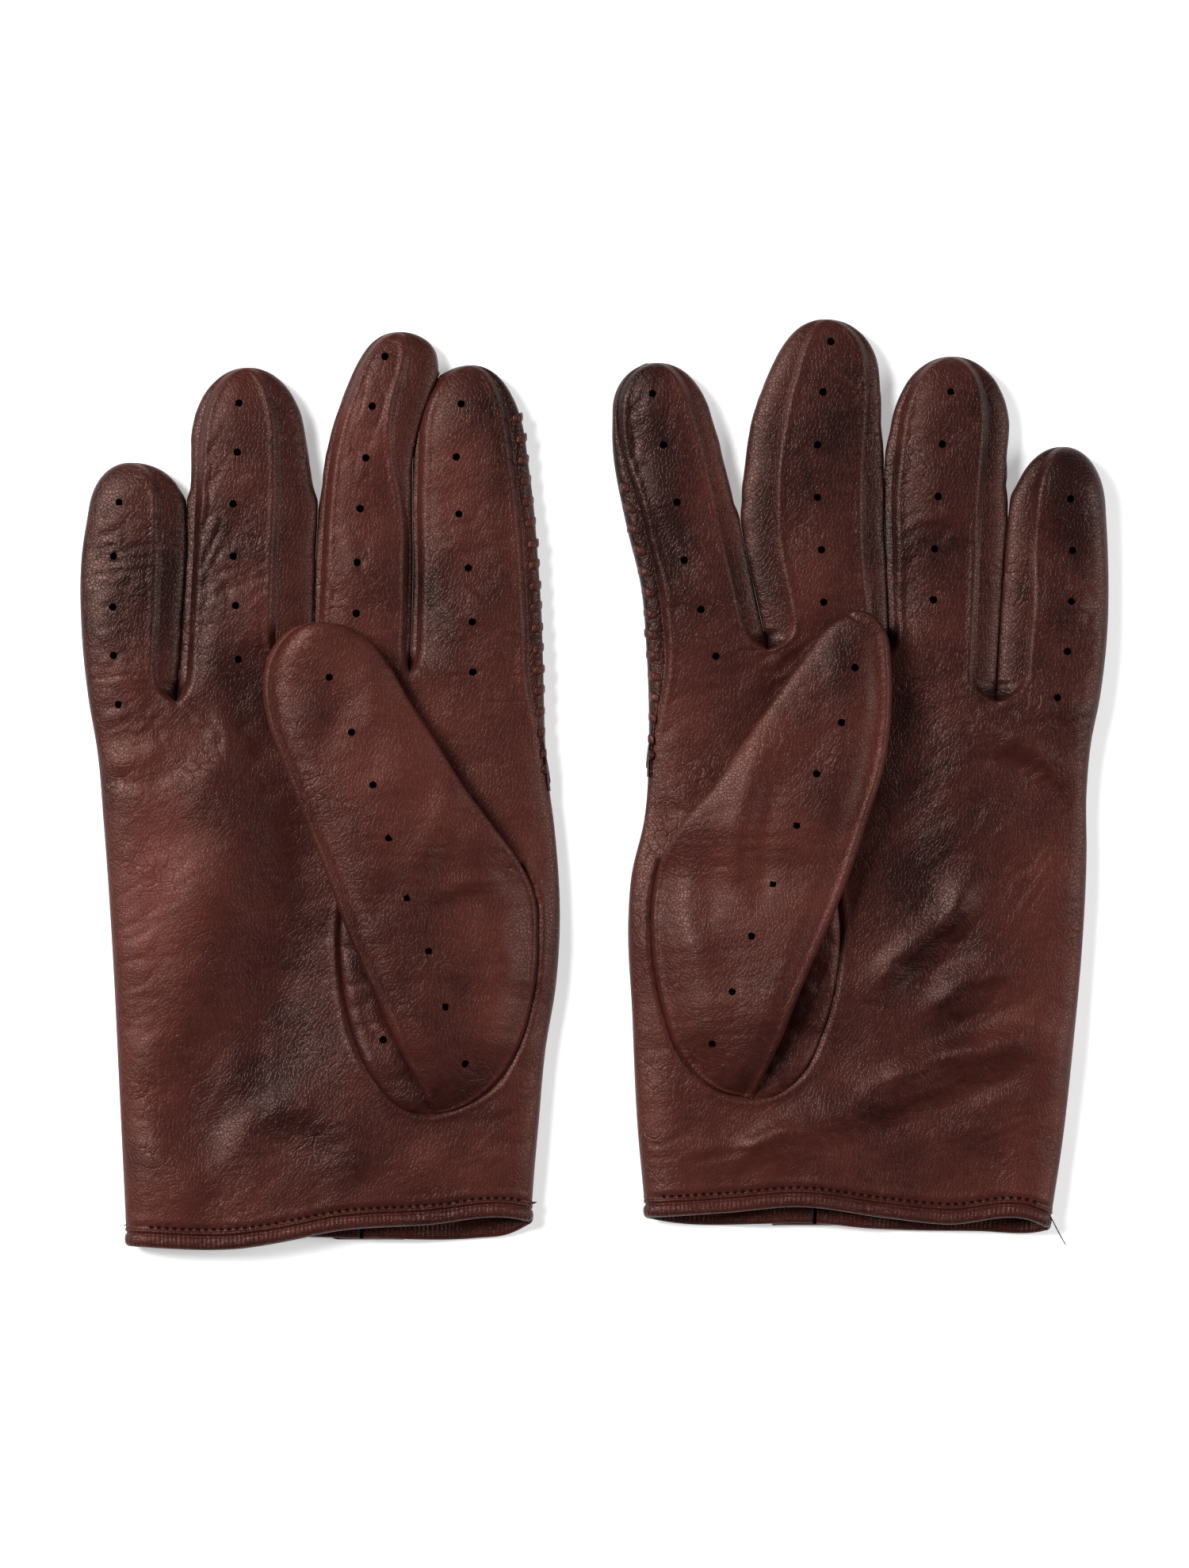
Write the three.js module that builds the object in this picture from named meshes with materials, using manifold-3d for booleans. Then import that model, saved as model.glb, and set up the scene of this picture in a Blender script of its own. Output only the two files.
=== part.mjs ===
// A pair of full-finger leather driving gloves, lying palm up with the fingers along +Y.
// Units are millimetres, +Z is up and the gloves rest on the plane z = 0.
// Each glove is a hand part (palm, back, side walls, three fourchettes, thumb gusset and cuff binding),
// four fingers that fold at one line each, a thumb laid over the palm, and a vent flap with a press stud.
// The leather is drawn as flat sheets and upright walls, so that a hand's space stays open inside.
import * as THREE from "three";
import { mergeVertices } from "three/addons/utils/BufferGeometryUtils.js";
import Module from "manifold-3d";

// ---- Driving dimensions ----
const LEATHER = 0.8; // thickness of the glove leather
const GAP = 0.3; // clearance left between pieces that are sewn together
const FINGER_HEIGHT = 9.8; // outside height of a finger that holds no hand
const THUMB_HEIGHT = 7.7; // outside height of the thumb
const CAP_THICKNESS = 1; // press stud cap, which the cuff rests on
const CAP_RADIUS = 5.5;
const STUD_RADIUS = 2.2;
const STUD_HEAD = 0.5; // thickness of the stud's rivet head, inside the back
const STUD_HEAD_RADIUS = 3.5;
const STUD_SIDES = 12;
const CAP_SIDES = 20;
const BINDING_WIDTH = 4; // cuff binding, measured along the hand
const BINDING_THICKNESS = 1.4; // leather folded over itself
const HOLE_RADIUS = 1; // perforations of the palm side
const HOLE_PITCH = 13;
const HOLE_SIDES = 6;
const VENT_LENGTH = 44; // slit in the back, from the cuff
const VENT_SLIT = 0.8;
const VENT_PLACE = 8; // from the cuff's middle towards the thumb
const FLAP_OVERLAP = 9; // how far the vent flap reaches past the slit
const FLAP_ROOT = 11; // from the slit to the line the flap folds on
const FLAP_CORNER = 3.5;
const FLAP_MARGIN = 2; // leather between the stud's cap and the flap's lower edge
const GUSSET_RIM = 2.6; // leather round the opening that the thumb passes through
const CUFF_WIDTH = 102;
const PAIR_GAP = 12.94; // between the two gloves where they come closest
const PAIR_OFFSET = 3.6; // how much further up the left-hand glove lies
const STEPS = 2; // straight steps between two points of a smooth outline

// ---- Levels that follow from them ----
const FLAP_Z = CAP_THICKNESS + GAP;
const BACK_Z = FLAP_Z + LEATHER + GAP;
const BACK_TOP = BACK_Z + LEATHER;
const PALM_Z = FINGER_HEIGHT - LEATHER;
const THUMB_Z = FINGER_HEIGHT + GAP;
const THUMB_TOP = THUMB_Z + THUMB_HEIGHT;
const PLATE_START = BINDING_WIDTH + GAP;

// ---- Outlines, in each glove's own frame: x = 0 in the middle of the cuff, y = 0 at its edge ----
// A finger's rows are [y, left edge, right edge] from its root towards its tip. fold is the distance from the tip
// to the line it folds on, first the distance from the tip to the first perforation, and shift how far the
// perforations lie from the finger's middle.
const RIGHT_HAND = {
  name: "right",
  thumbSide: 1, // the index finger and the thumb's root lie towards +x
  fingers: [
    {
      name: "pinky",
      tip: [-50, 198],
      rows: [
        [137.6, -60.6, -38.9],
        [154.6, -62.4, -37.7],
        [174.6, -62.4, -36.7],
        [186.6, -60.6, -36.6],
        [192.6, -58.4, -40],
      ],
      fold: 30,
      first: 10.4,
      shift: -2.4,
      holes: 5,
    },
    {
      name: "ring",
      tip: [-20.4, 222],
      rows: [
        [137.6, -37.7, -4.4],
        [154.6, -36.5, -4.4],
        [174.6, -35.5, -4],
        [186.6, -35.1, -3.5],
        [202.6, -34.8, -5.4],
        [214.6, -32.2, -8.8],
        [218.6, -29.4, -11.2],
      ],
      fold: 41.5,
      first: 9.2,
      shift: -2,
      holes: 6,
    },
    {
      name: "middle",
      tip: [18, 231],
      rows: [
        [145, -3.4, 19.8],
        [158.6, -3.2, 20.4],
        [174.6, -2.6, 20.4],
        [186.6, -1.9, 19.8],
        [202.6, 0, 19.2],
        [210.6, 1.8, 20.6],
        [218.6, 5, 25],
        [222.6, 7.2, 27.6],
        [227, 10.6, 26],
      ],
      fold: 52,
      first: 6.4,
      shift: 0,
      holes: 6,
    },
    {
      name: "index",
      tip: [36, 222.6],
      rows: [
        [145, 21.2, 54.2],
        [158.6, 21.6, 53.8],
        [174.6, 21.8, 52.8],
        [186.6, 21.6, 51.8],
        [202.6, 21.6, 49.8],
        [211, 24, 48.2],
        [218.6, 28, 45],
      ],
      fold: 43.5,
      first: 10,
      shift: -2.6,
      holes: 6,
    },
  ],
  crotches: [137.6, 145, 145],
  leftSide: [
    [0, -CUFF_WIDTH / 2],
    [42, -53],
    [74, -54.6],
    [106, -56.8],
    [126, -58.6],
  ],
  rightSide: [
    [0, CUFF_WIDTH / 2],
    [26, 52.8],
    [50, 54.8],
    [66, 57.4],
    [82, 58.4],
    [106, 57],
    [120, 55.2],
  ],
  thumb: {
    oval: { x: 29.4, y: 70.6, rx: 26.2, ry: 38 },
    hinge: [
      [26.6, 33.8],
      [53.6, 94.6],
    ],
    edge: [
      [26.6, 33.8],
      [13, 64.6],
      [5, 81.6],
      [-3, 100.6],
      [-9, 118.6],
      [-13.6, 133.6],
      [-15.2, 143],
      [-11, 152.6],
      [-1, 157.4],
      [8.4, 155.4],
      [14, 149.6],
      [29, 128.6],
      [45, 107.6],
      [53.6, 94.6],
    ],
  },
};

const LEFT_HAND = {
  name: "left",
  thumbSide: -1,
  fingers: [
    {
      name: "index",
      tip: [-48, 219.6],
      rows: [
        [147, -50.8, -20.8],
        [163, -52.2, -24.2],
        [179, -56, -28],
        [199, -59.4, -32],
        [207, -59.4, -34.4],
        [213, -58.4, -37.4],
      ],
      fold: 42.5,
      first: 8,
      shift: -1,
      holes: 6,
    },
    {
      name: "middle",
      tip: [-5.6, 230.6],
      rows: [
        [147, -19.6, 9.8],
        [159, -22.2, 9.4],
        [175, -25.6, 8.8],
        [191, -26, 8.4],
        [207, -23.4, 8.4],
        [217, -20, 8],
        [225, -15.8, 5.8],
      ],
      fold: 51.5,
      first: 5.6,
      shift: 1.6,
      holes: 6,
    },
    {
      name: "ring",
      tip: [26.4, 221.2],
      rows: [
        [134, 11, 37],
        [151, 10.8, 37.8],
        [171, 10.2, 38.8],
        [191, 9.8, 40.4],
        [203, 11, 40.6],
        [212, 14.8, 39],
      ],
      fold: 42,
      first: 9,
      shift: -2.4,
      holes: 6,
    },
    {
      name: "pinky",
      tip: [54.4, 198.4],
      rows: [
        [134, 37.9, 63.6],
        [151, 38.9, 65.6],
        [171, 40.3, 65.8],
        [183, 41.6, 65.2],
        [192, 45.4, 63.6],
      ],
      fold: 33,
      first: 13,
      shift: 1.4,
      holes: 5,
    },
  ],
  crotches: [147, 147, 134],
  leftSide: [
    [0, -CUFF_WIDTH / 2],
    [24, -53],
    [55, -54.4],
    [79, -55.4],
    [90, -54.6],
    [104, -51.4],
    [125, -50.2],
  ],
  rightSide: [
    [0, CUFF_WIDTH / 2],
    [23, 54.4],
    [47, 57],
    [71, 59.2],
    [95, 60.4],
    [111, 60.4],
    [124, 61.6],
  ],
  thumb: {
    oval: { x: -25.6, y: 72, rx: 24.4, ry: 38.4 },
    hinge: [
      [-23.6, 34],
      [-48.8, 91.4],
    ],
    edge: [
      [-23.6, 34],
      [-11.6, 59],
      [-4.6, 75],
      [1.4, 92],
      [6, 102],
      [9, 113],
      [11, 128],
      [11.4, 141],
      [8.6, 151.4],
      [2, 157],
      [-4.4, 153.6],
      [-13.6, 142],
      [-28.6, 124],
      [-41.6, 107.4],
      [-48.8, 91.4],
    ],
  },
};

// ---- Plane geometry ----
const point = (x, y) => new THREE.Vector2(x, y);

// A smooth path through [x, y] points.
function smoothPath(points) {
  const curve = new THREE.SplineCurve(points.map(([x, y]) => point(x, y)));
  return curve.getPoints((points.length - 1) * STEPS);
}

// The stretch of a path with rising y that lies between two heights, its ends worked out exactly.
function between(path, low, high) {
  const at = (y) => {
    const i = Math.max(
      1,
      path.findIndex((p) => p.y >= y),
    );
    const a = path[i - 1];
    const b = path[i];
    return a.clone().lerp(b, (y - a.y) / (b.y - a.y));
  };
  const inside = path.filter((p) => p.y > low + GAP && p.y < high - GAP);
  const top = high >= path[path.length - 1].y ? path[path.length - 1] : at(high);
  return [at(low), ...inside, top];
}

// The path moved sideways: a positive distance moves it to the left of its direction.
function offsetPath(path, distance) {
  return path.map((p, i) => {
    const along = path[Math.min(i + 1, path.length - 1)]
      .clone()
      .sub(path[Math.max(i - 1, 0)])
      .normalize();
    return point(p.x - along.y * distance, p.y + along.x * distance);
  });
}

// The closed polygon of a strip of the given width along a path.
const strip = (path, width) => [...path, ...offsetPath(path, width).reverse()];

// The part of a convex or nearly convex polygon on the side of a line that keep points to.
function clip(polygon, origin, keep) {
  const depth = (p) => p.clone().sub(origin).dot(keep);
  return polygon.flatMap((p, i) => {
    const q = polygon[(i + 1) % polygon.length];
    const a = depth(p);
    const b = depth(q);
    const kept = a >= 0 ? [p] : [];
    return a * b < 0 ? [...kept, p.clone().lerp(q, a / (a - b))] : kept;
  });
}

function ellipse({ x, y, rx, ry }, inset) {
  return new THREE.EllipseCurve(x, y, rx - inset, ry - inset).getPoints(36).slice(0, -1);
}

const circle = (centre, radius, sides) =>
  new THREE.EllipseCurve(centre.x, centre.y, radius, radius).getPoints(sides).slice(0, -1);

// ---- Solids ----
const wasm = await Module();
wasm.setup();

// A polygon with holes, drawn up from level z.
function sheet(polygon, z, thickness, holes = []) {
  const shape = new THREE.Shape(polygon);
  shape.holes = holes.map((hole) => new THREE.Path(hole));
  return new THREE.ExtrudeGeometry(shape, { depth: thickness, bevelEnabled: false }).translate(0, 0, z);
}

function toSolid(geometry) {
  const bare = geometry.clone().deleteAttribute("normal").deleteAttribute("uv");
  const merged = mergeVertices(bare, 1e-4);
  return new wasm.Manifold(
    new wasm.Mesh({
      numProp: 3,
      vertProperties: new Float32Array(merged.attributes.position.array),
      triVerts: new Uint32Array(merged.index.array),
    }),
  );
}

function fromSolid(solid) {
  const mesh = solid.getMesh();
  const geometry = new THREE.BufferGeometry();
  geometry.setAttribute("position", new THREE.BufferAttribute(new Float32Array(mesh.vertProperties), 3));
  geometry.setIndex(new THREE.BufferAttribute(new Uint32Array(mesh.triVerts), 1));
  geometry.computeVertexNormals();
  return geometry;
}

const join = (...pieces) => fromSolid(pieces.map(toSolid).reduce((a, b) => a.add(b)));
const cut = (piece, tool) => fromSolid(toSolid(piece).subtract(toSolid(tool)));

// ---- Materials ----
const skin = new THREE.MeshStandardMaterial({ color: 0x4a2a26, roughness: 0.42 });
const sideSkin = new THREE.MeshStandardMaterial({ color: 0x42241f, roughness: 0.45 });
const boundEdge = new THREE.MeshStandardMaterial({ color: 0x3c1f1c, roughness: 0.4 });
const studMetal = new THREE.MeshStandardMaterial({ color: 0x6b4a38, roughness: 0.3, metalness: 1 });

// ---- One finger ----
// Its two edges, as paths that rise to the tip. The outer fingers' outer edges start at the cuff.
function fingerEdges(glove, i) {
  const finger = glove.fingers[i];
  const leftSide = i === 0 ? glove.leftSide : [];
  const rightSide = i === glove.fingers.length - 1 ? glove.rightSide : [];
  const up = [...leftSide.map(([y, x]) => [x, y]), ...finger.rows.map(([y, left]) => [left, y])];
  const down = [...rightSide.map(([y, x]) => [x, y]), ...finger.rows.map(([y, , right]) => [right, y])].reverse();
  const path = smoothPath([...up, finger.tip, ...down]);
  const tip = up.length * STEPS;
  return { left: path.slice(0, tip + 1), right: path.slice(tip).reverse() };
}

const foldLine = (finger) => finger.tip[1] - finger.fold;

// Perforation outlines of a finger between two heights.
function fingerHoles(glove, i, low, high) {
  const finger = glove.fingers[i];
  const { left, right } = fingerEdges(glove, i);
  const heights = Array.from({ length: finger.holes }, (_, n) => finger.tip[1] - finger.first - n * HOLE_PITCH);
  return heights
    .filter((y) => y - HOLE_RADIUS > low && y + HOLE_RADIUS < high)
    .map((y) => {
      const [a] = between(left, y, finger.tip[1]);
      const [b] = between(right, y, finger.tip[1]);
      return circle(point((a.x + b.x) / 2 + finger.shift, y), HOLE_RADIUS, HOLE_SIDES);
    });
}

// The moving part of a finger: palm side, back and one wall on each side.
function fingerPieces(glove, i) {
  const finger = glove.fingers[i];
  const low = foldLine(finger) + GAP / 2;
  const tip = finger.tip[1];
  const { left, right } = fingerEdges(glove, i);
  const outer = finger.name === "index" ? "index_side_strip" : "pinky_outer_fold";
  const leftWall = i === 0 ? outer : `${finger.name}_fourchette_left`;
  const rightWall = i === glove.fingers.length - 1 ? outer : `${finger.name}_fourchette_right`;
  const up = between(left, low, tip);
  const down = between(right, low, tip).slice(0, -1).reverse();
  const outline = [...up, ...down];
  const wallHeight = PALM_Z - LEATHER - 2 * GAP;
  const wall = (path, side) => {
    const stops = path.filter((p) => p.distanceTo(point(...finger.tip)) > 2 * LEATHER);
    return sheet(strip(stops, -side * LEATHER), LEATHER + GAP, wallHeight);
  };
  return [
    [`${finger.name}_front`, sheet(outline, PALM_Z, LEATHER, fingerHoles(glove, i, low, tip)), skin],
    [`${finger.name}_back`, sheet(outline, 0, LEATHER), skin],
    [leftWall, wall(up, 1), sideSkin],
    [rightWall, wall([...down].reverse(), -1), sideSkin],
  ];
}

// ---- The hand part ----
// Outline of the palm or back with the four finger stubs, starting at the cuff's left corner.
function handOutline(glove, bottom) {
  const outline = [];
  const ends = glove.fingers.map((finger) => foldLine(finger) - GAP / 2);
  glove.fingers.forEach((finger, i) => {
    const { left, right } = fingerEdges(glove, i);
    outline.push(...between(left, i === 0 ? PLATE_START : glove.crotches[i - 1], ends[i]));
    const last = i === glove.fingers.length - 1;
    outline.push(...between(right, last ? PLATE_START : glove.crotches[i], ends[i]).reverse());
  });
  return [...outline, ...bottom];
}

function handPieces(glove) {
  const index = glove.fingers.findIndex((finger) => finger.name === "index");
  const wallHeight = PALM_Z - BACK_TOP - 2 * GAP;
  const wallZ = BACK_TOP + GAP;
  const studHole = circle(studPlace(glove), STUD_RADIUS + GAP, STUD_SIDES);
  const stubHoles = glove.fingers.flatMap((finger, i) =>
    fingerHoles(glove, i, Math.max(...glove.crotches.slice(Math.max(0, i - 1), i + 1)), foldLine(finger) - GAP),
  );
  const pieces = [
    ["palm", sheet(handOutline(glove, []), PALM_Z, LEATHER, [ellipse(glove.thumb.oval, 0), ...stubHoles]), skin],
    ["back", sheet(handOutline(glove, ventNotch(glove)), BACK_Z, LEATHER, [studHole]), skin],
  ];
  // The two long sides: the outer one is the fold of the main skin, the other is the laced side seam.
  [0, glove.fingers.length - 1].forEach((i) => {
    const side = i === 0 ? -1 : 1;
    const { left, right } = fingerEdges(glove, i);
    const path = between(i === 0 ? left : right, PLATE_START, foldLine(glove.fingers[i]) - GAP / 2);
    const name = i === index ? "side_seam" : "outer_fold";
    pieces.push([name, sheet(strip(path, side * LEATHER), wallZ, wallHeight), sideSkin]);
  });
  // A fourchette runs down the side of one finger, round the crotch and up the next finger.
  glove.crotches.forEach((crotch, i) => {
    const [a, b] = [glove.fingers[i], glove.fingers[i + 1]];
    const down = between(fingerEdges(glove, i).right, crotch, foldLine(a) - GAP / 2).reverse();
    const up = between(fingerEdges(glove, i + 1).left, crotch, foldLine(b) - GAP / 2);
    const path = [...down, ...up];
    const name = `fourchette_${a.name}_${b.name}`;
    pieces.push([name, sheet(strip(path, -LEATHER), wallZ, wallHeight), sideSkin]);
  });
  return [...pieces, ["cuff_binding", cuffBinding(glove), boundEdge], ["thumb_gusset", thumbGusset(glove), skin]];
}

// ---- Cuff: vent, flap, press stud and binding ----
const ventX = (glove) => glove.thumbSide * VENT_PLACE;

// The stud stands halfway across the overlap, with its cap clear of the cuff's edge.
const studPlace = (glove) =>
  point(ventX(glove) - (glove.thumbSide * FLAP_OVERLAP) / 2, PLATE_START + CAP_RADIUS + FLAP_MARGIN);

// The slit as three sides of a notch in the outline's bottom edge, walked from left to right.
function ventNotch(glove) {
  const left = ventX(glove) - VENT_SLIT / 2;
  const right = ventX(glove) + VENT_SLIT / 2;
  return [point(right, PLATE_START), point(right, VENT_LENGTH), point(left, VENT_LENGTH), point(left, PLATE_START)];
}

// The flap folds open on its straight side, and its two free corners are cut off.
function flapPieces(glove) {
  const side = glove.thumbSide;
  const root = ventX(glove) + side * FLAP_ROOT;
  const free = ventX(glove) - side * FLAP_OVERLAP;
  const corner = side * FLAP_CORNER;
  const outline = [
    point(root, PLATE_START),
    point(free + corner, PLATE_START),
    point(free, PLATE_START + FLAP_CORNER),
    point(free, VENT_LENGTH - FLAP_CORNER),
    point(free + corner, VENT_LENGTH),
    point(root, VENT_LENGTH),
  ];
  const place = studPlace(glove);
  const studHole = circle(place, STUD_RADIUS + GAP, STUD_SIDES);
  return [
    ["vent_flap", sheet(outline, FLAP_Z, LEATHER, [studHole]), skin],
    ["snap_cap", sheet(circle(place, CAP_RADIUS, CAP_SIDES), 0, CAP_THICKNESS), studMetal],
  ];
}

// The stud's nose reaches down through the flap to the cap, and its rivet head lies inside the glove.
function snapStud(glove) {
  const place = studPlace(glove);
  const post = sheet(circle(place, STUD_RADIUS, STUD_SIDES), FLAP_Z, BACK_TOP + GAP - FLAP_Z + STUD_HEAD);
  const head = sheet(circle(place, STUD_HEAD_RADIUS, STUD_SIDES), BACK_TOP + GAP, STUD_HEAD);
  return [["snap_stud", join(post, head), studMetal]];
}

// A strip folded round the cuff's edge, drawn as a flat ring seen along the hand and open at the vent.
function cuffBinding(glove) {
  const left = glove.leftSide[0][1];
  const right = glove.rightSide[0][1];
  const [low, high] = [BACK_Z - GAP, FINGER_HEIGHT + GAP];
  const ring = (inset) => [
    point(right - inset, low + inset),
    point(right - inset, high - inset),
    point(left + inset, high - inset),
    point(left + inset, low + inset),
  ];
  const x = ventX(glove);
  const outer = ring(0);
  const inner = ring(BINDING_THICKNESS);
  const outline = [
    point(x + VENT_SLIT / 2, outer[0].y),
    ...outer,
    point(x - VENT_SLIT / 2, outer[0].y),
    point(x - VENT_SLIT / 2, inner[0].y),
    ...[...inner].reverse(),
    point(x + VENT_SLIT / 2, inner[0].y),
  ];
  return sheet(outline, 0, BINDING_WIDTH)
    .rotateX(Math.PI / 2)
    .translate(0, BINDING_WIDTH, 0);
}

// ---- Thumb ----
// The line that the thumb swings on, and the direction across it that points away from the thumb.
function thumbHinge(glove) {
  const [low, high] = glove.thumb.hinge.map(([x, y]) => point(x, y));
  const along = high.clone().sub(low).normalize();
  const out = point(along.y, -along.x).multiplyScalar(glove.thumbSide);
  return { low, high, along, out };
}

// The root of the thumb, sewn into the palm's oval: a rim, an outer wall and a roof as far as the hinge line.
function thumbGusset(glove) {
  const { low, out } = thumbHinge(glove);
  const { oval, edge } = glove.thumb;
  const inward = out.clone().negate();
  const rim = ellipse(oval, GAP);
  const roofSide = low.clone().addScaledVector(out, GAP / 2);
  const foldEnd = point(...edge[2]);
  const foldAlong = foldEnd.clone().sub(low).normalize();
  const foldIn = point(foldAlong.y, -foldAlong.x).multiplyScalar(glove.thumbSide);
  const passage = clip(ellipse(oval, GAP + GUSSET_RIM), low.clone().addScaledVector(foldIn, GUSSET_RIM), foldIn);
  const wallHeight = THUMB_TOP - PALM_Z;
  const outside = clip(rim, roofSide, out);
  const inside = clip(ellipse(oval, GAP + LEATHER), low.clone().addScaledVector(inward, LEATHER), out);
  const wall = cut(sheet(outside, PALM_Z, wallHeight), sheet(inside, PALM_Z - LEATHER, wallHeight));
  return join(sheet(rim, PALM_Z, LEATHER, [passage]), wall);
}

// The lying part of the thumb: a skin with its rim on top, and an underside that starts past the oval.
function thumbPieces(glove) {
  const { low, out } = thumbHinge(glove);
  const inward = out.clone().negate();
  const path = smoothPath(glove.thumb.edge);
  const start = low.clone().addScaledVector(inward, GAP / 2);
  const outline = clip(path, start, inward);
  const side = glove.thumbSide;
  const rimSpace = clip(offsetPath(path, -side * LEATHER), low, inward);
  const hollow = clip(rimSpace.concat(low.clone().addScaledVector(out, LEATHER)), low.clone().addScaledVector(out, 1), inward);
  const rimZ = THUMB_Z + LEATHER + GAP;
  const block = sheet(outline, rimZ, THUMB_TOP - rimZ);
  const upper = cut(block, sheet(hollow, rimZ - LEATHER, THUMB_TOP - rimZ));
  const under = cut(sheet(outline, THUMB_Z, LEATHER), sheet(ellipse(glove.thumb.oval, -GAP), THUMB_Z - LEATHER, 3 * LEATHER));
  return [
    ["thumb_upper", upper, skin],
    ["thumb_under", under, skin],
  ];
}

// ---- The pair ----
function makeGlove(glove) {
  const group = new THREE.Group();
  const pieces = [
    ...handPieces(glove),
    ...snapStud(glove),
    ...flapPieces(glove),
    ...glove.fingers.flatMap((_, i) => fingerPieces(glove, i)),
    ...thumbPieces(glove),
  ];
  for (const [name, geometry, material] of pieces) {
    const mesh = new THREE.Mesh(geometry, material);
    mesh.name = `${glove.name}_${name}`;
    group.add(mesh);
  }
  return group;
}

const right = makeGlove(RIGHT_HAND);
const left = makeGlove(LEFT_HAND);
const rightEdge = new THREE.Box3().setFromObject(right).max.x;
const leftEdge = new THREE.Box3().setFromObject(left).min.x;
left.position.set(rightEdge + PAIR_GAP - leftEdge, PAIR_OFFSET, 0);

// The pair's origin is the middle of its footprint, on the plane it rests on.
const gloves = new THREE.Group();
gloves.add(right, left);
const middle = new THREE.Box3().setFromObject(gloves).getCenter(new THREE.Vector3());
gloves.children.forEach((glove) => glove.position.sub(new THREE.Vector3(middle.x, middle.y, 0)));

export default gloves;
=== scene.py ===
# %% [markdown]
# # A pair of leather driving gloves
# Each glove is thin lambskin, cut flat and sewn into tubes: a palm and a back with four tongues each,
# strips called fourchettes between the fingers, and a thumb that is folded over the palm. Driving gloves
# are perforated on the palm side, and the outer side of the index finger is laced.
#
# Such a soft thing could be sculpted or simulated. Here every skin is a surface worked out as a formula on
# a grid, because then two pieces that are sewn together can share one edge exactly.

# %% Load the fixed frame
import bpy
import numpy as np
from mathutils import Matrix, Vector


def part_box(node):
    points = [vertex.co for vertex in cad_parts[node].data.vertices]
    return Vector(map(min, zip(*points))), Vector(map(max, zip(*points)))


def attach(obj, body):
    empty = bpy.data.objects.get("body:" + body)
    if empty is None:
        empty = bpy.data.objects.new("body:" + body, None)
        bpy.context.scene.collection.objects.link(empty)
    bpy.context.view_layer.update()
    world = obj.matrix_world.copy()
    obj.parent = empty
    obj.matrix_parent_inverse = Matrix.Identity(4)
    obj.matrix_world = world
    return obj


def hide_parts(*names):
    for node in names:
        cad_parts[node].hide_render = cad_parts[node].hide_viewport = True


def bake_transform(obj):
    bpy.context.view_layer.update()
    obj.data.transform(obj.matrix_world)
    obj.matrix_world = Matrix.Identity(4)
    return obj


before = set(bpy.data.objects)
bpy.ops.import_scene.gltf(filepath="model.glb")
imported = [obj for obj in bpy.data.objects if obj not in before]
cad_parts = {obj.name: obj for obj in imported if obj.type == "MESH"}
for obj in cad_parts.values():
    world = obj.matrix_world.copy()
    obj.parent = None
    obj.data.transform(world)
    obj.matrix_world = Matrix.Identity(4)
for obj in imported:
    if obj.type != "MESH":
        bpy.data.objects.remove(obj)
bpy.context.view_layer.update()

MM = 0.001

# %% [markdown]
# ## Small tools for curves and noise
# The outlines of a glove are smooth curves through a few points, as a pattern cutter draws them. Everything
# is worked out for whole arrays at once.

# %% Curves


def ease(t):
    """3t² - 2t³, held to 0..1: an S-shaped step."""
    t = np.clip(t, 0, 1)
    return t * t * (3 - 2 * t)


def mix(a, b, w):
    """a where w is 0 and b where w is 1."""
    return a + (b - a) * w


def round_edge(distance, radius):
    """Height share of a quarter circle: 0 at the edge and 1 from radius inwards."""
    return np.sqrt(1 - (1 - np.clip(distance / radius, 0, 1)) ** 2)


def curve_at(ys, xs, y):
    """x on a smooth curve through (y, x) points: cubics, with slopes taken from the neighbouring points."""
    ys, xs = np.asarray(ys, float), np.asarray(xs, float)
    slope = np.gradient(xs, ys)
    y = np.clip(y, ys[0], ys[-1])
    k = np.clip(np.searchsorted(ys, y, side="right") - 1, 0, len(ys) - 2)
    step = ys[k + 1] - ys[k]
    t = (y - ys[k]) / step
    start, end = (2 * t**3 - 3 * t**2 + 1), (3 * t**2 - 2 * t**3)
    leave, arrive = (t**3 - 2 * t**2 + t) * step, (t**3 - t**2) * step
    return start * xs[k] + leave * slope[k] + end * xs[k + 1] + arrive * slope[k + 1]


def path_at(points, share):
    """Points at shares 0..1 of the length of a smooth path."""
    points = np.asarray(points, float)
    lengths = np.concatenate([[0], np.cumsum(np.linalg.norm(np.diff(points, axis=0), axis=1))])
    at = np.asarray(share) * lengths[-1]
    return np.stack([curve_at(lengths, points[:, k], at) for k in range(points.shape[1])], axis=-1)


print("halfway between 0 and 2, eased:", float(mix(0, 2, ease(0.5))))

# %% [markdown]
# Noise is what makes leather lie unevenly. A lattice of random values, always the same ones, is smoothed from
# point to point. Distances to a line are needed for seams, which are grooves along a line.

# %% Noise and distance


def noise(x, y, size, seed):
    """Smooth noise from -1 to 1: seeded random values on a square lattice, eased from one to the next."""
    table = np.random.default_rng(seed).uniform(-1, 1, (128, 128))
    u, v = x / size + 37.3, y / size + 51.7
    i, j = np.floor(u).astype(int), np.floor(v).astype(int)
    a, b = ease(u - i), ease(v - j)
    low = mix(table[i % 128, j % 128], table[(i + 1) % 128, j % 128], a)
    high = mix(table[i % 128, (j + 1) % 128], table[(i + 1) % 128, (j + 1) % 128], a)
    return mix(low, high, b)


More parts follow.
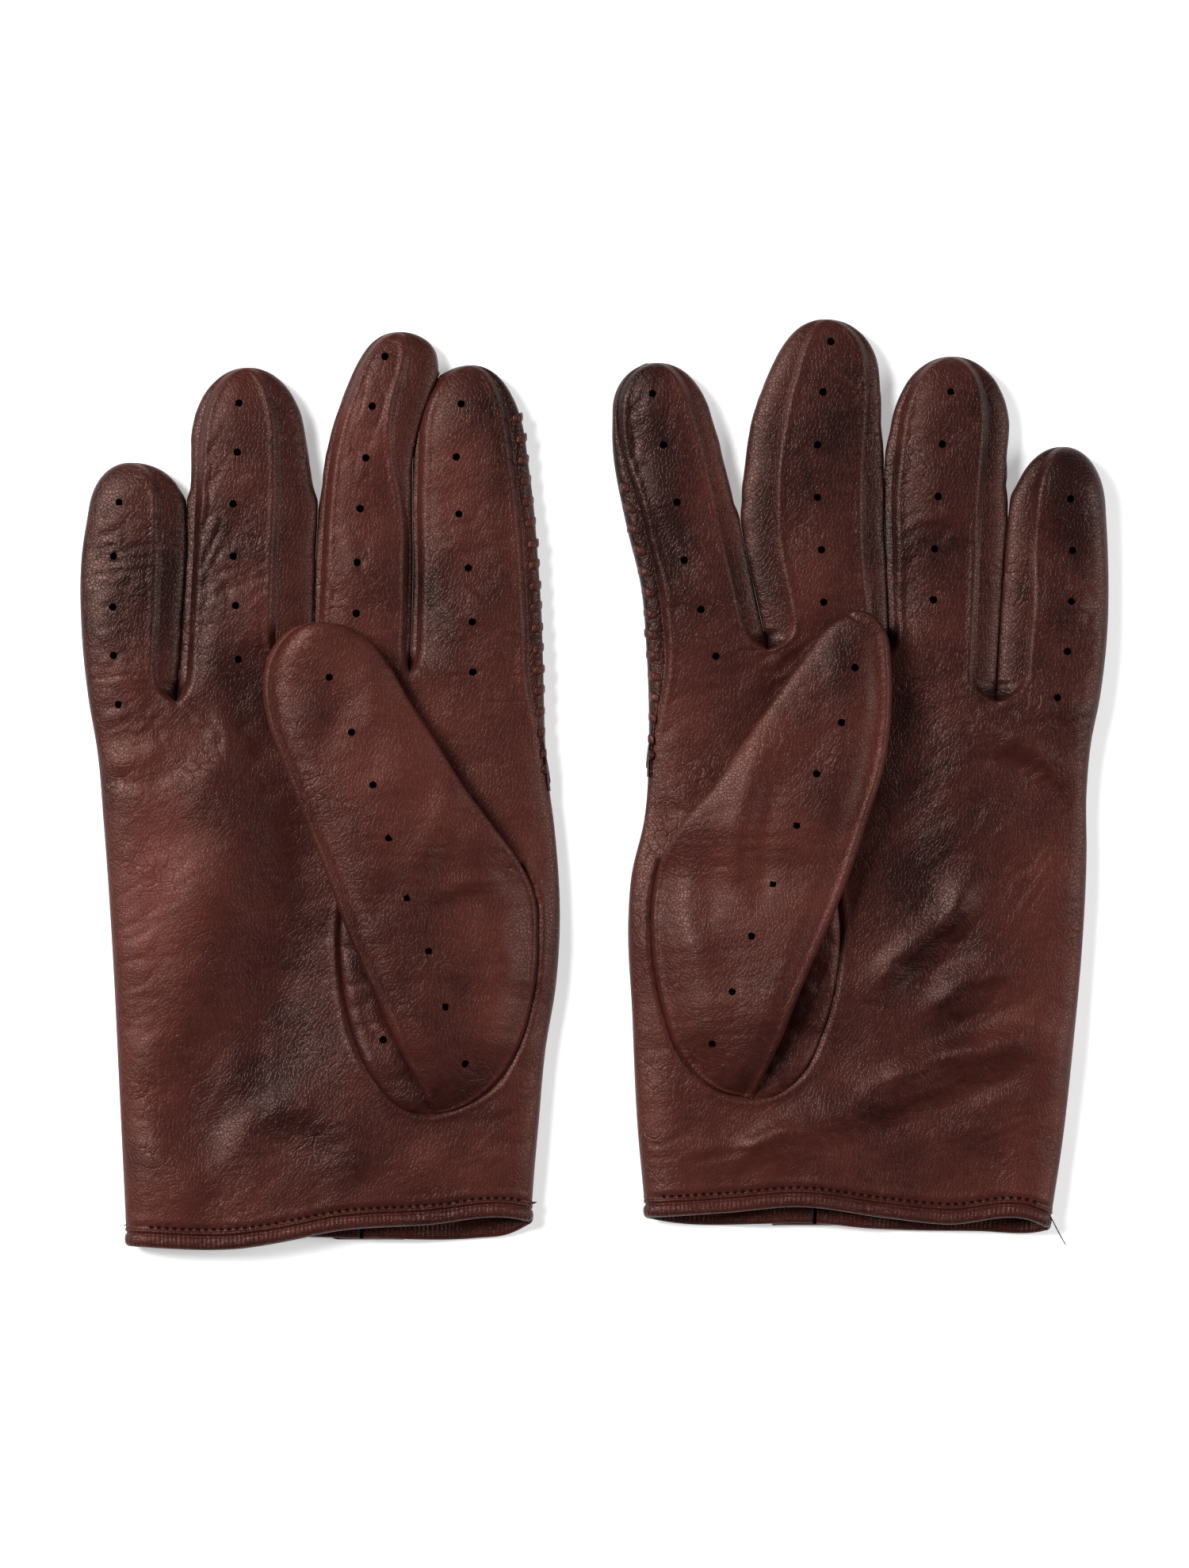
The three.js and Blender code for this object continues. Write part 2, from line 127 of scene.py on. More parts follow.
def distance_to(x, y, points):
    """Distance from each (x, y) to a line through points, and the share of the line where it is nearest."""
    line = path_at(points, np.linspace(0, 1, 6 * len(points)))
    best = np.full(np.shape(x), 1e9)
    share = np.zeros(np.shape(x))
    for n, (a, b) in enumerate(zip(line, line[1:])):
        d = b - a
        t = np.clip(((x - a[0]) * d[0] + (y - a[1]) * d[1]) / (d @ d), 0, 1)
        away = np.hypot(x - a[0] - t * d[0], y - a[1] - t * d[1])
        share = np.where(away < best, (n + t) / (len(line) - 1), share)
        best = np.minimum(away, best)
    return best, share


print("noise check:", round(float(noise(1.0, 2.0, 5.0, 1)), 4))

# %% [markdown]
# ## The pattern of each glove, in millimetres
# Both gloves are described in a frame of their own: x = 0 in the middle of the cuff, y = 0 at its edge.
# A finger's rows are (y, left edge, right edge). Its seams say where the front panel ends, as a share of the
# finger's half width, first at the root and then at the tip: -1 is the left edge and 1 the right edge.

# %% The right-hand glove
RIGHT = {
    "name": "right",
    "thumb_side": 1,
    "lace_top": 212,
    "crotches": [137.6, 145.0, 145.0],
    "left_side": [(0, -51), (42, -53), (74, -54.6), (106, -56.8), (126, -58.6)],
    "right_side": [(0, 51), (26, 52.8), (50, 54.8), (66, 57.4), (82, 58.4), (106, 57), (120, 55.2)],
    "fingers": [
        {
            "name": "pinky",
            "tip": (-50, 198),
            "fold": 30,
            "rows": [
                (137.6, -60.6, -38.6), (154.6, -62.4, -37.3), (174.6, -62.4, -36.3), (186.6, -60.6, -36.4)
            ],
            "seams": [(-1, -1), (0.57, 0.55)],
            "holes": [(-52.7, 187.8), (-54.1, 174.2), (-54.3, 161.4), (-54.1, 149.2), (-52.9, 136.8)],
        },
        {
            "name": "ring",
            "tip": (-20.4, 222),
            "fold": 41.5,
            "rows": [
                (137.6, -38, -4), (154.6, -36.9, -4), (174.6, -35.8, -3.6), (186.6, -35.3, -3.3),
                (202.6, -34.8, -5.2)
            ],
            "seams": [(-0.9, -0.85), (0.44, 0.56)],
            "holes": [
                (-22.5, 212.8), (-22.9, 200.4), (-23.9, 187.4), (-23.9, 174.2), (-23.3, 161.8),
                (-22.7, 148.2)
            ],
        },
        {
            "name": "middle",
            "tip": (18, 231),
            "fold": 52,
            "rows": [
                (145, -3.8, 20.2), (158.6, -3.6, 20.8), (174.6, -2.9, 21.2), (186.6, -2.1, 21),
                (202.6, 0, 21.8), (210.6, 2.1, 24.2), (218.6, 5, 27.2)
            ],
            "seams": [(-0.9, -0.9), (0.93, 0.28)],
            "holes": [(14.3, 224.6), (11.1, 212), (9.5, 199), (8.1, 186.2), (7.3, 172.6), (7.1, 159.8)],
        },
        {
            "name": "index",
            "tip": (36, 222.6),
            "fold": 43.5,
            "rows": [
                (145, 20.8, 54.2), (158.6, 21.2, 53.8), (174.6, 21.4, 52.8), (186.6, 21.2, 51.8),
                (202.6, 21.4, 49.8)
            ],
            "seams": [(-0.93, -0.9), (0.79, 0.77)],
            "holes": [
                (33.5, 212.6), (32.3, 199.2), (32.9, 184.8), (35.3, 171.2), (36.3, 157.6), (36.5, 145)
            ],
        },
    ],
    "thumb_fold": [
        (26.8, 33.2), (19.5, 47.4), (12.3, 63.2), (5.1, 79.2), (-0.7, 95), (-6.5, 109.5), (-11.5, 122.5),
        (-15.1, 132.6), (-16.3, 141.2), (-14.4, 150), (-9.3, 155.8), (-2.1, 157.6)
    ],
    "thumb_side_line": [
        (26.8, 33.2), (34, 35.1), (42.7, 41.6), (48.5, 51.7), (51.7, 63.2), (53.1, 77.7), (52.1, 89.2),
        (48.5, 96.5), (41.3, 106.6), (34, 116.7), (26.8, 128.3), (21, 137), (15.3, 147), (9.5, 153.6),
        (3.7, 156.8), (-2.1, 157.6)
    ],
    "oval_left": [(26.8, 32.6), (18.1, 35.1), (11.6, 42.4), (6.5, 53.2), (3.7, 66.2), (3, 80.6), (6, 96)],
    "hinge": [(26.6, 33.8), (53.6, 94.6)],
    "thumb_holes": [
        (0.5, 143.6), (6.1, 129.8), (11.5, 116.6), (15.5, 103.2), (20.1, 88.2), (25.5, 74.8), (29.7, 60.8),
        (34.7, 46.4)
    ],
    "recess_hole": (13.9, 52.4),
    "cut_out": ((29, 65), (18.5, 26)),
    "hem_front": [(-52, 0.4), (-21.3, 0), (-8.3, 2.2), (-0.1, 4), (25, 5.9), (46, 7.6), (52, 6.4)],
    "hem_back": [(-52, 0.4), (-8.3, 2.6), (12.9, 2.2), (36.9, 2.2), (46, 3.4), (52, 6.4)],
    # Patches of tone: pale and dark dye together with painted highlight and painted shade
    "wear_and_painted_light": [
        ((-13, 84), (15, 34), -0.85), ((-14, 30), (24, 17), -0.3), ((-44, 88), (13, 38), 1.5),
        ((-31, 176), (9, 28), -1.3), ((-16, 186), (9, 34), -0.8), ((-21, 140), (16, 12), -0.5),
        ((-52, 172), (11, 26), -0.55), ((50, 110), (8, 22), 0.5), ((33, 190), (7, 12), 0.4),
        ((43, 168), (9, 14), -0.9), ((46, 200), (6, 14), -0.6), ((26, 160), (6, 18), -0.9),
        ((9, 190), (6, 20), 0.3), ((-50, 142), (9, 8), 0.3), ((-44, 168), (6, 28), -0.5),
        ((-28, 205), (7, 14), -0.6), ((10, 165), (7, 8), -0.5), ((38, 212), (10, 8), -0.5)
    ],
    "creases": [
        ((-32, 131), (11, 6), -35, 1.6, 0.45), ((-46, 133), (10, 6), 25, 1.7, 0.45),
        ((-52, 173), (10, 8), 8, 2.2, 0.5), ((-32, 186), (7, 20), 65, 2.6, 0.6),
        ((-28, 168), (13, 6), 20, 1.9, 0.5), ((2, 171), (9, 10), -55, 3.2, 0.6),
        ((40, 156), (10, 18), -42, 2.8, 0.45), ((-21, 122), (13, 15), -62, 2.6, 0.4),
        ((36, 186), (12, 10), 10, 2.4, 0.35), ((-54, 150), (8, 12), 5, 2.0, 0.35),
        ((-46, 70), (9, 24), 10, 3.2, 0.3), ((48, 30), (9, 18), 60, 3, 0.4),
        ((14, 205), (8, 14), 75, 2.6, 0.4)
    ],
    "folds": [
        ([(-31, 128), (-27, 104), (-33, 72), (-40, 44)], 15, 1.7),
        ([(-9, 116), (-9, 90), (-14, 60), (-8, 34)], 14, -1.6),
        ([(-24, 60), (-34, 44), (-28, 22)], 9, -0.7),
        ([(-24, 24), (-17, 33), (-8, 36)], 5, 0.7),
        ([(-57, 122), (-48, 123), (-40, 128)], 2.2, 0.45),
        ([(-56, 118), (-46, 117), (-36, 122)], 1.8, -0.35),
        ([(-30, 134), (-26, 125), (-31, 118)], 5, 0.7),
        ([(-12, 40), (6, 24), (4, 12)], 6, 0.8),
        ([(-48, 27), (-38, 20), (-36, 8)], 5, 0.6),
    ],
    # Tone patches of the thumb: pale and dark dye together with painted highlight and painted shade
    "thumb_wear_and_painted_light": [
        ((22, 116), (9, 30), 0.5), ((30, 84), (10, 14), -0.5), ((46, 56), (8, 20), 0.6),
        ((34, 40), (9, 8), -0.5)
    ],
    "thumb_folds": [
        ([(23, 87), (28, 89), (34, 91.5), (42, 93)], 2.0, 0.55),
        ([(24, 84.5), (30, 86), (38, 88)], 3.0, -0.5),
        ([(34, 118), (28.5, 108), (24, 97), (22.3, 86)], 4.5, 0.7),
        ([(36, 112), (31, 103), (27.5, 93)], 4.0, -0.8),
        ([(44, 84), (46, 66), (41, 50)], 6, 1.0),
        ([(20, 128), (12, 106), (14, 86)], 8, 0.9),
        ([(6, 146), (0, 128), (-6, 116)], 5, -0.6),
    ],
}
print("right glove:", len(RIGHT["fingers"]), "fingers and", len(RIGHT["thumb_holes"]), "holes in the thumb")

# %% [markdown]
# The left glove isn't a mirror image of the right one. It was put down differently, so its outline, its folds
# and its patches of rubbed dye, painted highlight and painted shade are its own.

# %% The left-hand glove
LEFT = {
    "name": "left",
    "thumb_side": -1,
    "lace_top": 190,
    "crotches": [147.0, 147.0, 134.0],
    "left_side": [(0, -51), (24, -53), (55, -54.4), (79, -55.4), (90, -54.6), (104, -51.4), (125, -50.2)],
    "right_side": [(0, 51), (23, 54.4), (47, 57), (71, 59.2), (95, 60.4), (111, 60.4), (124, 61.6)],
    "fingers": [
        {
            "name": "index",
            "tip": (-48, 219.6),
            "fold": 42.5,
            "rows": [
                (147, -50.8, -20.4), (163, -52.2, -23.8), (179, -56, -27.6), (199, -59.4, -32),
                (207, -59.4, -34.4)
            ],
            "seams": [(-0.7, -0.9), (0.74, 0.7)],
            "holes": [
                (-49.3, 211.6), (-46.5, 198.6), (-43.1, 184.2), (-41.3, 169.6), (-37.1, 157.2),
                (-33.3, 145.4)
            ],
        },
        {
            "name": "middle",
            "tip": (-5.6, 230.6),
            "fold": 51.5,
            "rows": [
                (147, -20, 10.2), (159, -22.6, 9.8), (175, -26, 9.2), (191, -26.4, 8.8), (207, -23.6, 8.8),
                (217, -20, 8)
            ],
            "seams": [(-0.58, -0.56), (0.76, 0.84)],
            "holes": [(-4.3, 224.8), (-6.3, 212), (-7.7, 198.6), (-7.7, 185.4), (-6.7, 172.2), (-6.1, 159)],
        },
        {
            "name": "ring",
            "tip": (26.4, 221.2),
            "fold": 42,
            "rows": [
                (134, 10.6, 37.4), (151, 10.4, 38.2), (171, 9.8, 39.3), (191, 9.6, 40.6), (203, 11, 40.6)
            ],
            "seams": [(-0.9, -0.88), (0.6, 0.68)],
            "holes": [(25.9, 212), (23.7, 198.8), (22.7, 185.6), (21.9, 172.4), (21.5, 159.6)],
        },
        {
            "name": "pinky",
            "tip": (54.4, 198.4),
            "fold": 33,
            "rows": [(134, 37.6, 63.6), (151, 38.5, 65.6), (171, 39.9, 65.8), (183, 41.4, 65.2)],
            "seams": [(-0.53, -0.62), (1, 1)],
            "holes": [(56.3, 159.2), (55.3, 146.6), (52.7, 135), (56.6, 172), (56, 185)],
        },
    ],
    "thumb_fold": [
        (-24.1, 33.6), (-17.5, 47.4), (-11.6, 62.3), (-5.7, 75.7), (0.3, 90.6), (4.7, 104), (8.5, 115.9),
        (10.7, 130.8), (10.7, 142.7), (9.3, 151.6), (5.5, 156.1), (1.1, 156.8)
    ],
    "thumb_side_line": [
        (-24.1, 33.6), (-33.9, 36.2), (-41.3, 43), (-46.6, 56.4), (-49.3, 71.2), (-49.5, 83.2),
        (-47.3, 93.6), (-41.3, 104), (-33.9, 113), (-27.9, 121.9), (-20.5, 132.3), (-13.1, 142.7),
        (-4.1, 153.9), (1.1, 156.8)
    ],
    "oval_left": [
        (-24.1, 33), (-19.1, 34), (-11.6, 40), (-6.4, 50.4), (-2.9, 63.8), (-1.9, 75.7), (-4, 92)
    ],
    "hinge": [(-23.6, 34), (-48.8, 91.4)],
    # Patches of tone: pale and dark dye together with painted highlight and painted shade
    "wear_and_painted_light": [
        ((-53, 200), (10, 24), -1.7), ((-43, 184), (6, 20), -0.5), ((22, 96), (26, 40), -0.85),
        ((-6, 190), (18, 40), -0.85), ((26, 190), (16, 30), -0.5), ((56, 168), (10, 26), -0.8),
        ((-42, 166), (10, 16), -0.8), ((58, 186), (8, 16), -0.5), ((-42, 118), (12, 26), 0.4),
        ((-10, 20), (26, 12), 0.3), ((28, 60), (20, 16), 0.1), ((14, 130), (10, 16), -0.8),
        ((-22, 176), (6, 26), -0.9), ((2, 214), (7, 10), -0.8), ((-8, 168), (7, 14), 0.9),
        ((12, 180), (5, 24), -0.8), ((36, 205), (6, 14), -0.6), ((60, 190), (5, 16), -0.8),
        ((50, 92), (12, 18), 0.5)
    ],
    "thumb_holes": [
        (1.5, 142.4), (-1.9, 128.6), (-8.1, 115.8), (-13.1, 102.8), (-19.1, 88.2), (-24.5, 75), (-29.3, 61),
        (-34.3, 47.8)
    ],
    "recess_hole": None,
    "cut_out": ((-25.6, 64), (18, 25)),
    "hem_front": [(-52, 4), (-30.5, 5.4), (-10.9, 6.8), (8.3, 4.2), (24.7, 2.4), (46, 3.4), (52, 1)],
    "hem_back": [(-52, 4), (-47, 3), (-4.7, 2.2), (4.7, 1.2), (32.9, 0.4), (49, 0.3), (52, 1)],
    "creases": [
        ((-17, 143), (10, 7), 28, 1.7, 0.5), ((38, 130), (13, 8), -30, 1.8, 0.55),
        ((54, 124), (9, 12), 28, 2.1, 0.5), ((60, 158), (7, 18), 0, 1.9, 0.45),
        ((40, 112), (18, 16), 35, 3, 0.5), ((28, 66), (18, 14), 40, 3.4, 0.55),
        ((44, 90), (10, 16), 60, 2.8, 0.4), ((-54, 200), (7, 16), 80, 2.4, 0.5),
        ((-42, 160), (9, 14), -50, 3, 0.55), ((4, 166), (10, 12), 30, 2.4, 0.4),
        ((22, 176), (12, 10), 5, 2.2, 0.35), ((30, 34), (24, 10), 18, 3.2, 0.45),
        ((-32, 18), (20, 8), 12, 3.2, 0.35), ((-42, 108), (8, 16), -40, 2.4, 0.4)
    ],
    "folds": [
        ([(6, 62), (18, 74), (27, 82), (32, 92)], 3.5, 1.3),
        ([(12, 58), (24, 69), (34, 75)], 4.5, -1.0),
        ([(22, 58), (32, 64), (44, 66)], 3.5, 0.9),
        ([(6, 37), (24, 45), (36, 47), (47, 52)], 3.2, 1.4),
        ([(10, 42), (26, 51), (42, 57)], 4, -0.8),
        ([(-28, 14), (0, 28), (20, 36), (42, 46)], 6, 1.0),
        ([(0, 22), (24, 33), (48, 42)], 4.5, -1.0),
        ([(-26, 16), (-22, 20), (-12, 24)], 3, 0.8),
        ([(2, 108), (16, 96), (20, 84)], 9, -0.9),
        ([(38, 126), (48, 121), (52, 115)], 3, 0.8),
        ([(36, 120), (46, 116), (54, 108)], 3, -0.5),
        ([(13, 140), (18, 118), (12, 98)], 8, -1.0),
    ],
    # Tone patches of the thumb: pale and dark dye together with painted highlight and painted shade
    "thumb_wear_and_painted_light": [
        ((-26, 96), (14, 24), 0.6), ((-34, 60), (12, 16), 0.2), ((-6, 112), (8, 22), -0.4),
        ((0, 146), (8, 8), -0.5)
    ],
    "thumb_folds": [
        ([(-22, 122), (-27, 104), (-28, 84)], 4, 0.9),
        ([(-18, 118), (-22, 100), (-22, 84)], 3.5, -0.7),
        ([(2, 140), (-2, 118), (-8, 100)], 7, 0.8),
        ([(-38, 96), (-40, 80), (-36, 60)], 5, 0.7),
        ([(-12, 78), (-16, 60), (-22, 44)], 5, 0.6),
    ],
}
GLOVES = [RIGHT, LEFT]
for glove in GLOVES:
    low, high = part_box(f"{glove['name']}_cuff_binding")
    glove["origin"] = np.array([(low.x + high.x) / 2, low.y, 0])
    print(glove["name"], "glove's frame starts at", np.round(glove["origin"] / MM, 1), "mm")

# %% [markdown]
# ## The lie of the leather
# Lying flat, a glove is a low cushion of air between two skins. The hand part is one wide, low dome, and
# each finger is a tube with a section between an ellipse and a box. Below the fingers the one turns into
# the other. On top of that come broad hollows and swells, folds drawn one by one, and fine wrinkles.

# %% Levels and sections
MIDDLE = 4.1  # height of the side folds
PALM_RISE = 4.4  # from the side folds to the top of the palm
BACK_DROP = 3.7
SIDE_ROUND = 11  # how far in the dome of the hand part rises
FINGER_RISE = 4.7
FINGER_POWER = 2.3  # of the section's upper half
BACK_POWER = 4.0  # of its lower half, flat where it lies
TIP_ROUND = 15
SEAM_DEPTH = 0.9
SEAM_SINK = 0.65  # of the thumb's oval seam
SEAM_WIDTH = 0.85
LIP = 0.32  # swell beside a seam's groove
STRIP_START = 117  # where the laced side strip runs out, above the cuff
BACK_SEAM = 0.82  # where the back's two seams lie, as a share of the half width
VENT_X = 8  # of the slit in the back, on the thumb's side
VENT_TOP = 44
VENT_LIFT = 2.05  # how much nearer to the side folds the back lies over the flap
SHEET_START = 4.5  # palm and back start in the hem's stitched groove
print("top of the palm at", MIDDLE + PALM_RISE, "mm")

# %% [markdown]
# Folds come in three sizes. The large ones are drawn one by one where a hand has pressed them in. Bundles of
# small creases fill oval patches, and fine wrinkles follow noise. A cloth simulation would give folds too,
# but not at chosen places.

# %% Folds, creases and wrinkles
WRINKLE_DEPTH = 0.16
SLANTED_DEPTH = 0.14
FOLD_GAIN = 1.3  # by which the heights in the tables are raised
SWELLS = ((0.9, 31), (0.62, 14), (0.14, 5.5))  # height and width of the swells


def folds_at(x, y, folds):
    """Sum of the folds drawn one by one. Each is a bell across its line, lower towards the line's two ends.

    The pieces of a line are joined by the eighth root of the sum of eighth powers, which has no creases."""
    total = np.zeros(np.shape(x))
    for points, width, height in folds:
        line = path_at(points, np.linspace(0, 1, 4 * len(points)))
        swell = np.zeros(np.shape(x))
        for n, (a, b) in enumerate(zip(line, line[1:])):
            d = b - a
            t = np.clip(((x - a[0]) * d[0] + (y - a[1]) * d[1]) / (d @ d), 0, 1)
            away = np.hypot(x - a[0] - t * d[0], y - a[1] - t * d[1])
            share = (n + t) / (len(line) - 1)
            ends = 0.3 + 0.7 * ease(4 * share) * ease(4 * (1 - share))
            swell += (np.exp(-((away / width) ** 2)) * ends) ** 8
        total += height * swell ** (1 / 8)
    return total


def creases_at(x, y, patches):
    """Bundles of sharp little creases in oval patches: each runs along its angle, a wavelength apart."""
    total = np.zeros(np.shape(x))
    for n, ((cx, cy), (rx, ry), angle, wave, depth) in enumerate(patches):
        mask = np.exp(-(((x - cx) / rx) ** 2) - ((y - cy) / ry) ** 2)
        c, s = np.cos(np.radians(angle)), np.sin(np.radians(angle))
        along, across = (x - cx) * c + (y - cy) * s, (y - cy) * c - (x - cx) * s
        bent = across + 0.8 * noise(along, across, 7, 500 + n)
        line = 1 - np.abs(noise(along / 3.5, bent, wave, 510 + n))
        total -= depth * mask * line**4
        total += 0.5 * depth * mask * noise(along / 2.5, bent, wave * 1.6, 520 + n)
    return total


def wrinkles(x, y, seed):
    """Fine wrinkles: creases where noise crosses zero, long across the hand, and slanted ones in between."""
    where = ease(0.5 + 0.9 * noise(x, y, 19, seed + 5))
    across = 1 - np.abs(noise(x / 3.2, y, 2.3, seed + 6))
    slanted = 1 - np.abs(noise((x + 0.8 * y) / 2.6, y - 0.6 * x, 3.1, seed + 7))
    return -WRINKLE_DEPTH * where * across**4 - SLANTED_DEPTH * (1 - where) * slanted**4


def relief(glove, x, y, back=False):
    """Height to add to the even surface: swells, folds and wrinkles."""
    seed = 10 if glove["name"] == "right" else 40
    seed += 100 if back else 0
    swell = sum(height * noise(x, y, width, seed + n) for n, (height, width) in enumerate(SWELLS))
    if back:
        return swell + wrinkles(x, y, seed)
    drawn = FOLD_GAIN * folds_at(x, y, glove["folds"])
    return swell + drawn + wrinkles(x, y, seed) + creases_at(x, y, glove["creases"])


print("folds drawn by hand:", len(RIGHT["folds"]), "on the right palm,", len(LEFT["folds"]), "on the left")


# %% [markdown]
# Tone is partly the dye's own wear and partly painted light: pale patches stand for rubbed dye and painted
# highlight, dark ones for darker dye and painted shade in hollows. Where the thumb is sewn in, the palm sinks
# into an oval groove. Under the thumb it lies lower still, so that the thumb has room.

# %% Tone of dye with painted highlight and shade, and the oval of the thumb


def tone_at(glove, x, y):
    """How pale (1) or dark (-1) the leather is coloured: pale rubbed places and darker colouring together
    with painted highlight and painted shade, in soft oval patches, with slow noise between them.
    """
    total = 0.45 * noise(x, y, 26, 700) + 0.25 * noise(x, y, 9, 701)
    for (cx, cy), (rx, ry), amount in glove["wear_and_painted_light"]:
        total = total + amount * np.exp(-(((x - cx) / rx) ** 2) - ((y - cy) / ry) ** 2)
    return total


def inside_of(x, y, polygon):
    """Whether points lie in a closed polygon: a ray to the right crosses its sides an odd number of times."""
    result = np.zeros(np.shape(x), bool)
    for (ax, ay), (bx, by) in zip(polygon, polygon[1:] + polygon[:1]):
        if ay != by:
            result ^= ((ay > y) != (by > y)) & (x < ax + (y - ay) * (bx - ax) / (by - ay))
    return result


def oval_line(glove):
    """The thumb's oval seam, as far as it can be seen."""
    return glove["oval_left"][::-1] + [p for p in glove["thumb_side_line"][1:] if p[1] < 100]


def oval_dip(glove, x, y):
    """Height to add to the palm along the oval: a groove with a lip outside it, and a sunken rim inside."""
    line = oval_line(glove)
    away, _ = distance_to(x, y, line)
    outside = -SEAM_SINK * np.exp(-((away / 0.6) ** 2)) + 0.35 * np.exp(-(((away - 1.5) / 0.8) ** 2))
    smooth = path_at(line, np.linspace(0, 1, 80))
    covered = inside_of(x, y, [tuple(p) for p in smooth])
    return np.where(covered, -SEAM_SINK - 1.4 * ease(away / 2.5), outside)


# Tone in the middle of the right palm: dye together with painted highlight and painted shade
dye_and_painted_light = tone_at(RIGHT, np.array(-20.0), np.array(70.0))
print("tone of the dye in the middle of the right palm:", round(float(dye_and_painted_light), 2))

# %% [markdown]
# The outline at any height comes from the tables. A finger's cap is closed by a power curve a little
# squarer than a circle, and its section is a power curve as well: that is how a stuffed tube looks flat.

# %% Outlines and sections


def hand_edges(glove, y):
    """Left and right edge of the whole glove at height y."""
    first, last = glove["fingers"][0]["rows"], glove["fingers"][-1]["rows"]
    left = np.array(glove["left_side"] + [(r[0], r[1]) for r in first])
    right = np.array(glove["right_side"] + [(r[0], r[2]) for r in last])
    return curve_at(left[:, 0], left[:, 1], y), curve_at(right[:, 0], right[:, 1], y)


def finger_frame(glove, i, y):
    """Middle, half width and height share of finger i at height y. The tip closes as a round cap."""
    finger = glove["fingers"][i]
    rows = np.array(finger["rows"])
    tip_x, tip_y = finger["tip"]
    outer_left, outer_right = hand_edges(glove, np.minimum(y, rows[-1, 0]))
    left = outer_left if i == 0 else curve_at(rows[:, 0], rows[:, 1], y)
    right = outer_right if i == 3 else curve_at(rows[:, 0], rows[:, 2], y)
    past = np.clip(y - rows[-1, 0], 0, None)
    cap = np.clip(past / (tip_y - rows[-1, 0]), 0, 1)
    lean = (rows[-1, 1:] - rows[-2, 1:]) / (rows[-1, 0] - rows[-2, 0])
    left = left + lean[0] * past * (1 - cap / 2)
    right = right + lean[1] * past * (1 - cap / 2)
    cap = (1 - cap**2.1) ** (1 / 2.1)
    left, right = mix(tip_x, left, cap), mix(tip_x, right, cap)
    rise = np.clip((y - tip_y + TIP_ROUND) / TIP_ROUND, 0, 1)
    return (left + right) / 2, (right - left) / 2, (1 - rise**2.2) ** (1 / 2.2)


def seam_shares(glove, i, y, back):
    """Where the panel's two seams lie, as shares of the half width."""
    finger = glove["fingers"][i]
    start, end = finger["tip"][1] - finger["fold"], finger["tip"][1] - 10
    along = ease((y - start) / (end - start))
    left, right = (mix(a, b, along) for a, b in finger["seams"])
    if back:
        left = -1 + 0 * y if i == 0 else -BACK_SEAM + 0 * y
        right = 1 + 0 * y if i == 3 else BACK_SEAM + 0 * y
    return left, right


def section_height(share, back):
    """Height of a finger's section over its side folds, at a share -1..1 of the half width."""
    power = BACK_POWER if back else FINGER_POWER
    rise = BACK_DROP if back else FINGER_RISE
    return rise * (1 - np.clip(np.abs(share), 0, 1) ** power) ** (1 / power)


def hand_height(glove, x, y, back):
    """Height of the hand part's dome over its side folds: it rises in a quarter circle from both edges.

    The back is lifted over the vent flap, which lies under it."""
    left, right = hand_edges(glove, y)
    dome = round_edge(x - left, SIDE_ROUND) * round_edge(right - x, SIDE_ROUND)
    if not back:
        return PALM_RISE * dome
    side = x * glove["thumb_side"]
    flap = ease((side + 14) / 11) * ease((34 - side) / 15) * ease((58 - y) / 11)
    return (BACK_DROP - VENT_LIFT * flap) * dome


def calm_edges(glove, x, y):
    """0 at the glove's side folds and 1 from 5 mm inwards, where relief may show."""
    left, right = hand_edges(glove, y)
    return round_edge(x - left, 5) * round_edge(right - x, 5)


def palm_level(glove, x, y):
    """Height of the palm below the fingers, without seams."""
    return MIDDLE + hand_height(glove, x, y, False) + relief(glove, x, y) * calm_edges(glove, x, y)


level = palm_level(RIGHT, np.array(-20.0), np.array(70.0))
print("the right palm's height in the middle:", round(float(level), 2), "mm")

# %% [markdown]
# ## Palm and back, with their four tongues
# A palm could be one grid warped to the outline, but the four fingers would then squeeze its squares. Here
# the palm is four lanes side by side, one for each finger. Lanes share their edge below the crotch. Above it
# they part in a narrow, rounded notch, where the seam with the fourchette starts.

# %% Where the lanes meet and part
CUFF_WIDTH = 102
U_HEIGHT = 8  # over which the two seams of a crotch draw apart


def crotch_point(glove, k):
    """Where the seam between finger k and the next starts."""
    y = glove["crotches"][k]
    left = finger_frame(glove, k, y)
    right = finger_frame(glove, k + 1, y)
    return float(left[0] + left[1] + right[0] - right[1]) / 2, y


def lane_edge(glove, i, y, right, back):
    """x of a lane's left or right edge at height y, and how much of a seam is there, from 0 to 1."""
    middle, half, _ = finger_frame(glove, i, y)
    share = seam_shares(glove, i, y, back)[int(right)]
    panel = middle + half * share
    outer = (i == 3) if right else (i == 0)
    if outer:
        whole = hand_edges(glove, y)[int(right)]
        strip = (1 - np.abs(share)) * finger_frame(glove, i, np.maximum(y, glove["crotches"][min(i, 2)]))[1]
        taper = ease((y - STRIP_START) / 30)
        edge = np.where(y < glove["crotches"][min(i, 2)] + 8, whole - np.sign(share) * strip * taper, panel)
        return edge, taper * (np.abs(share) < 0.99)
    k = i if right else i - 1
    x, crotch = crotch_point(glove, k)
    start = -CUFF_WIDTH / 2 + CUFF_WIDTH * (k + 1) / 4
    below = mix(start, x, ease(y / crotch) * 0.3 + 0.7 * np.clip(y / crotch, 0, 1))
    turn = 1 - (1 - np.clip((y - crotch) / U_HEIGHT, 0, 1)) ** 2.6
    return np.where(y < crotch, below, mix(x, panel, turn)), ease((y - crotch + 1.5) / 3)


for glove in GLOVES:
    print(glove["name"], "crotches at x", [round(crotch_point(glove, k)[0], 1) for k in range(3)], "mm")

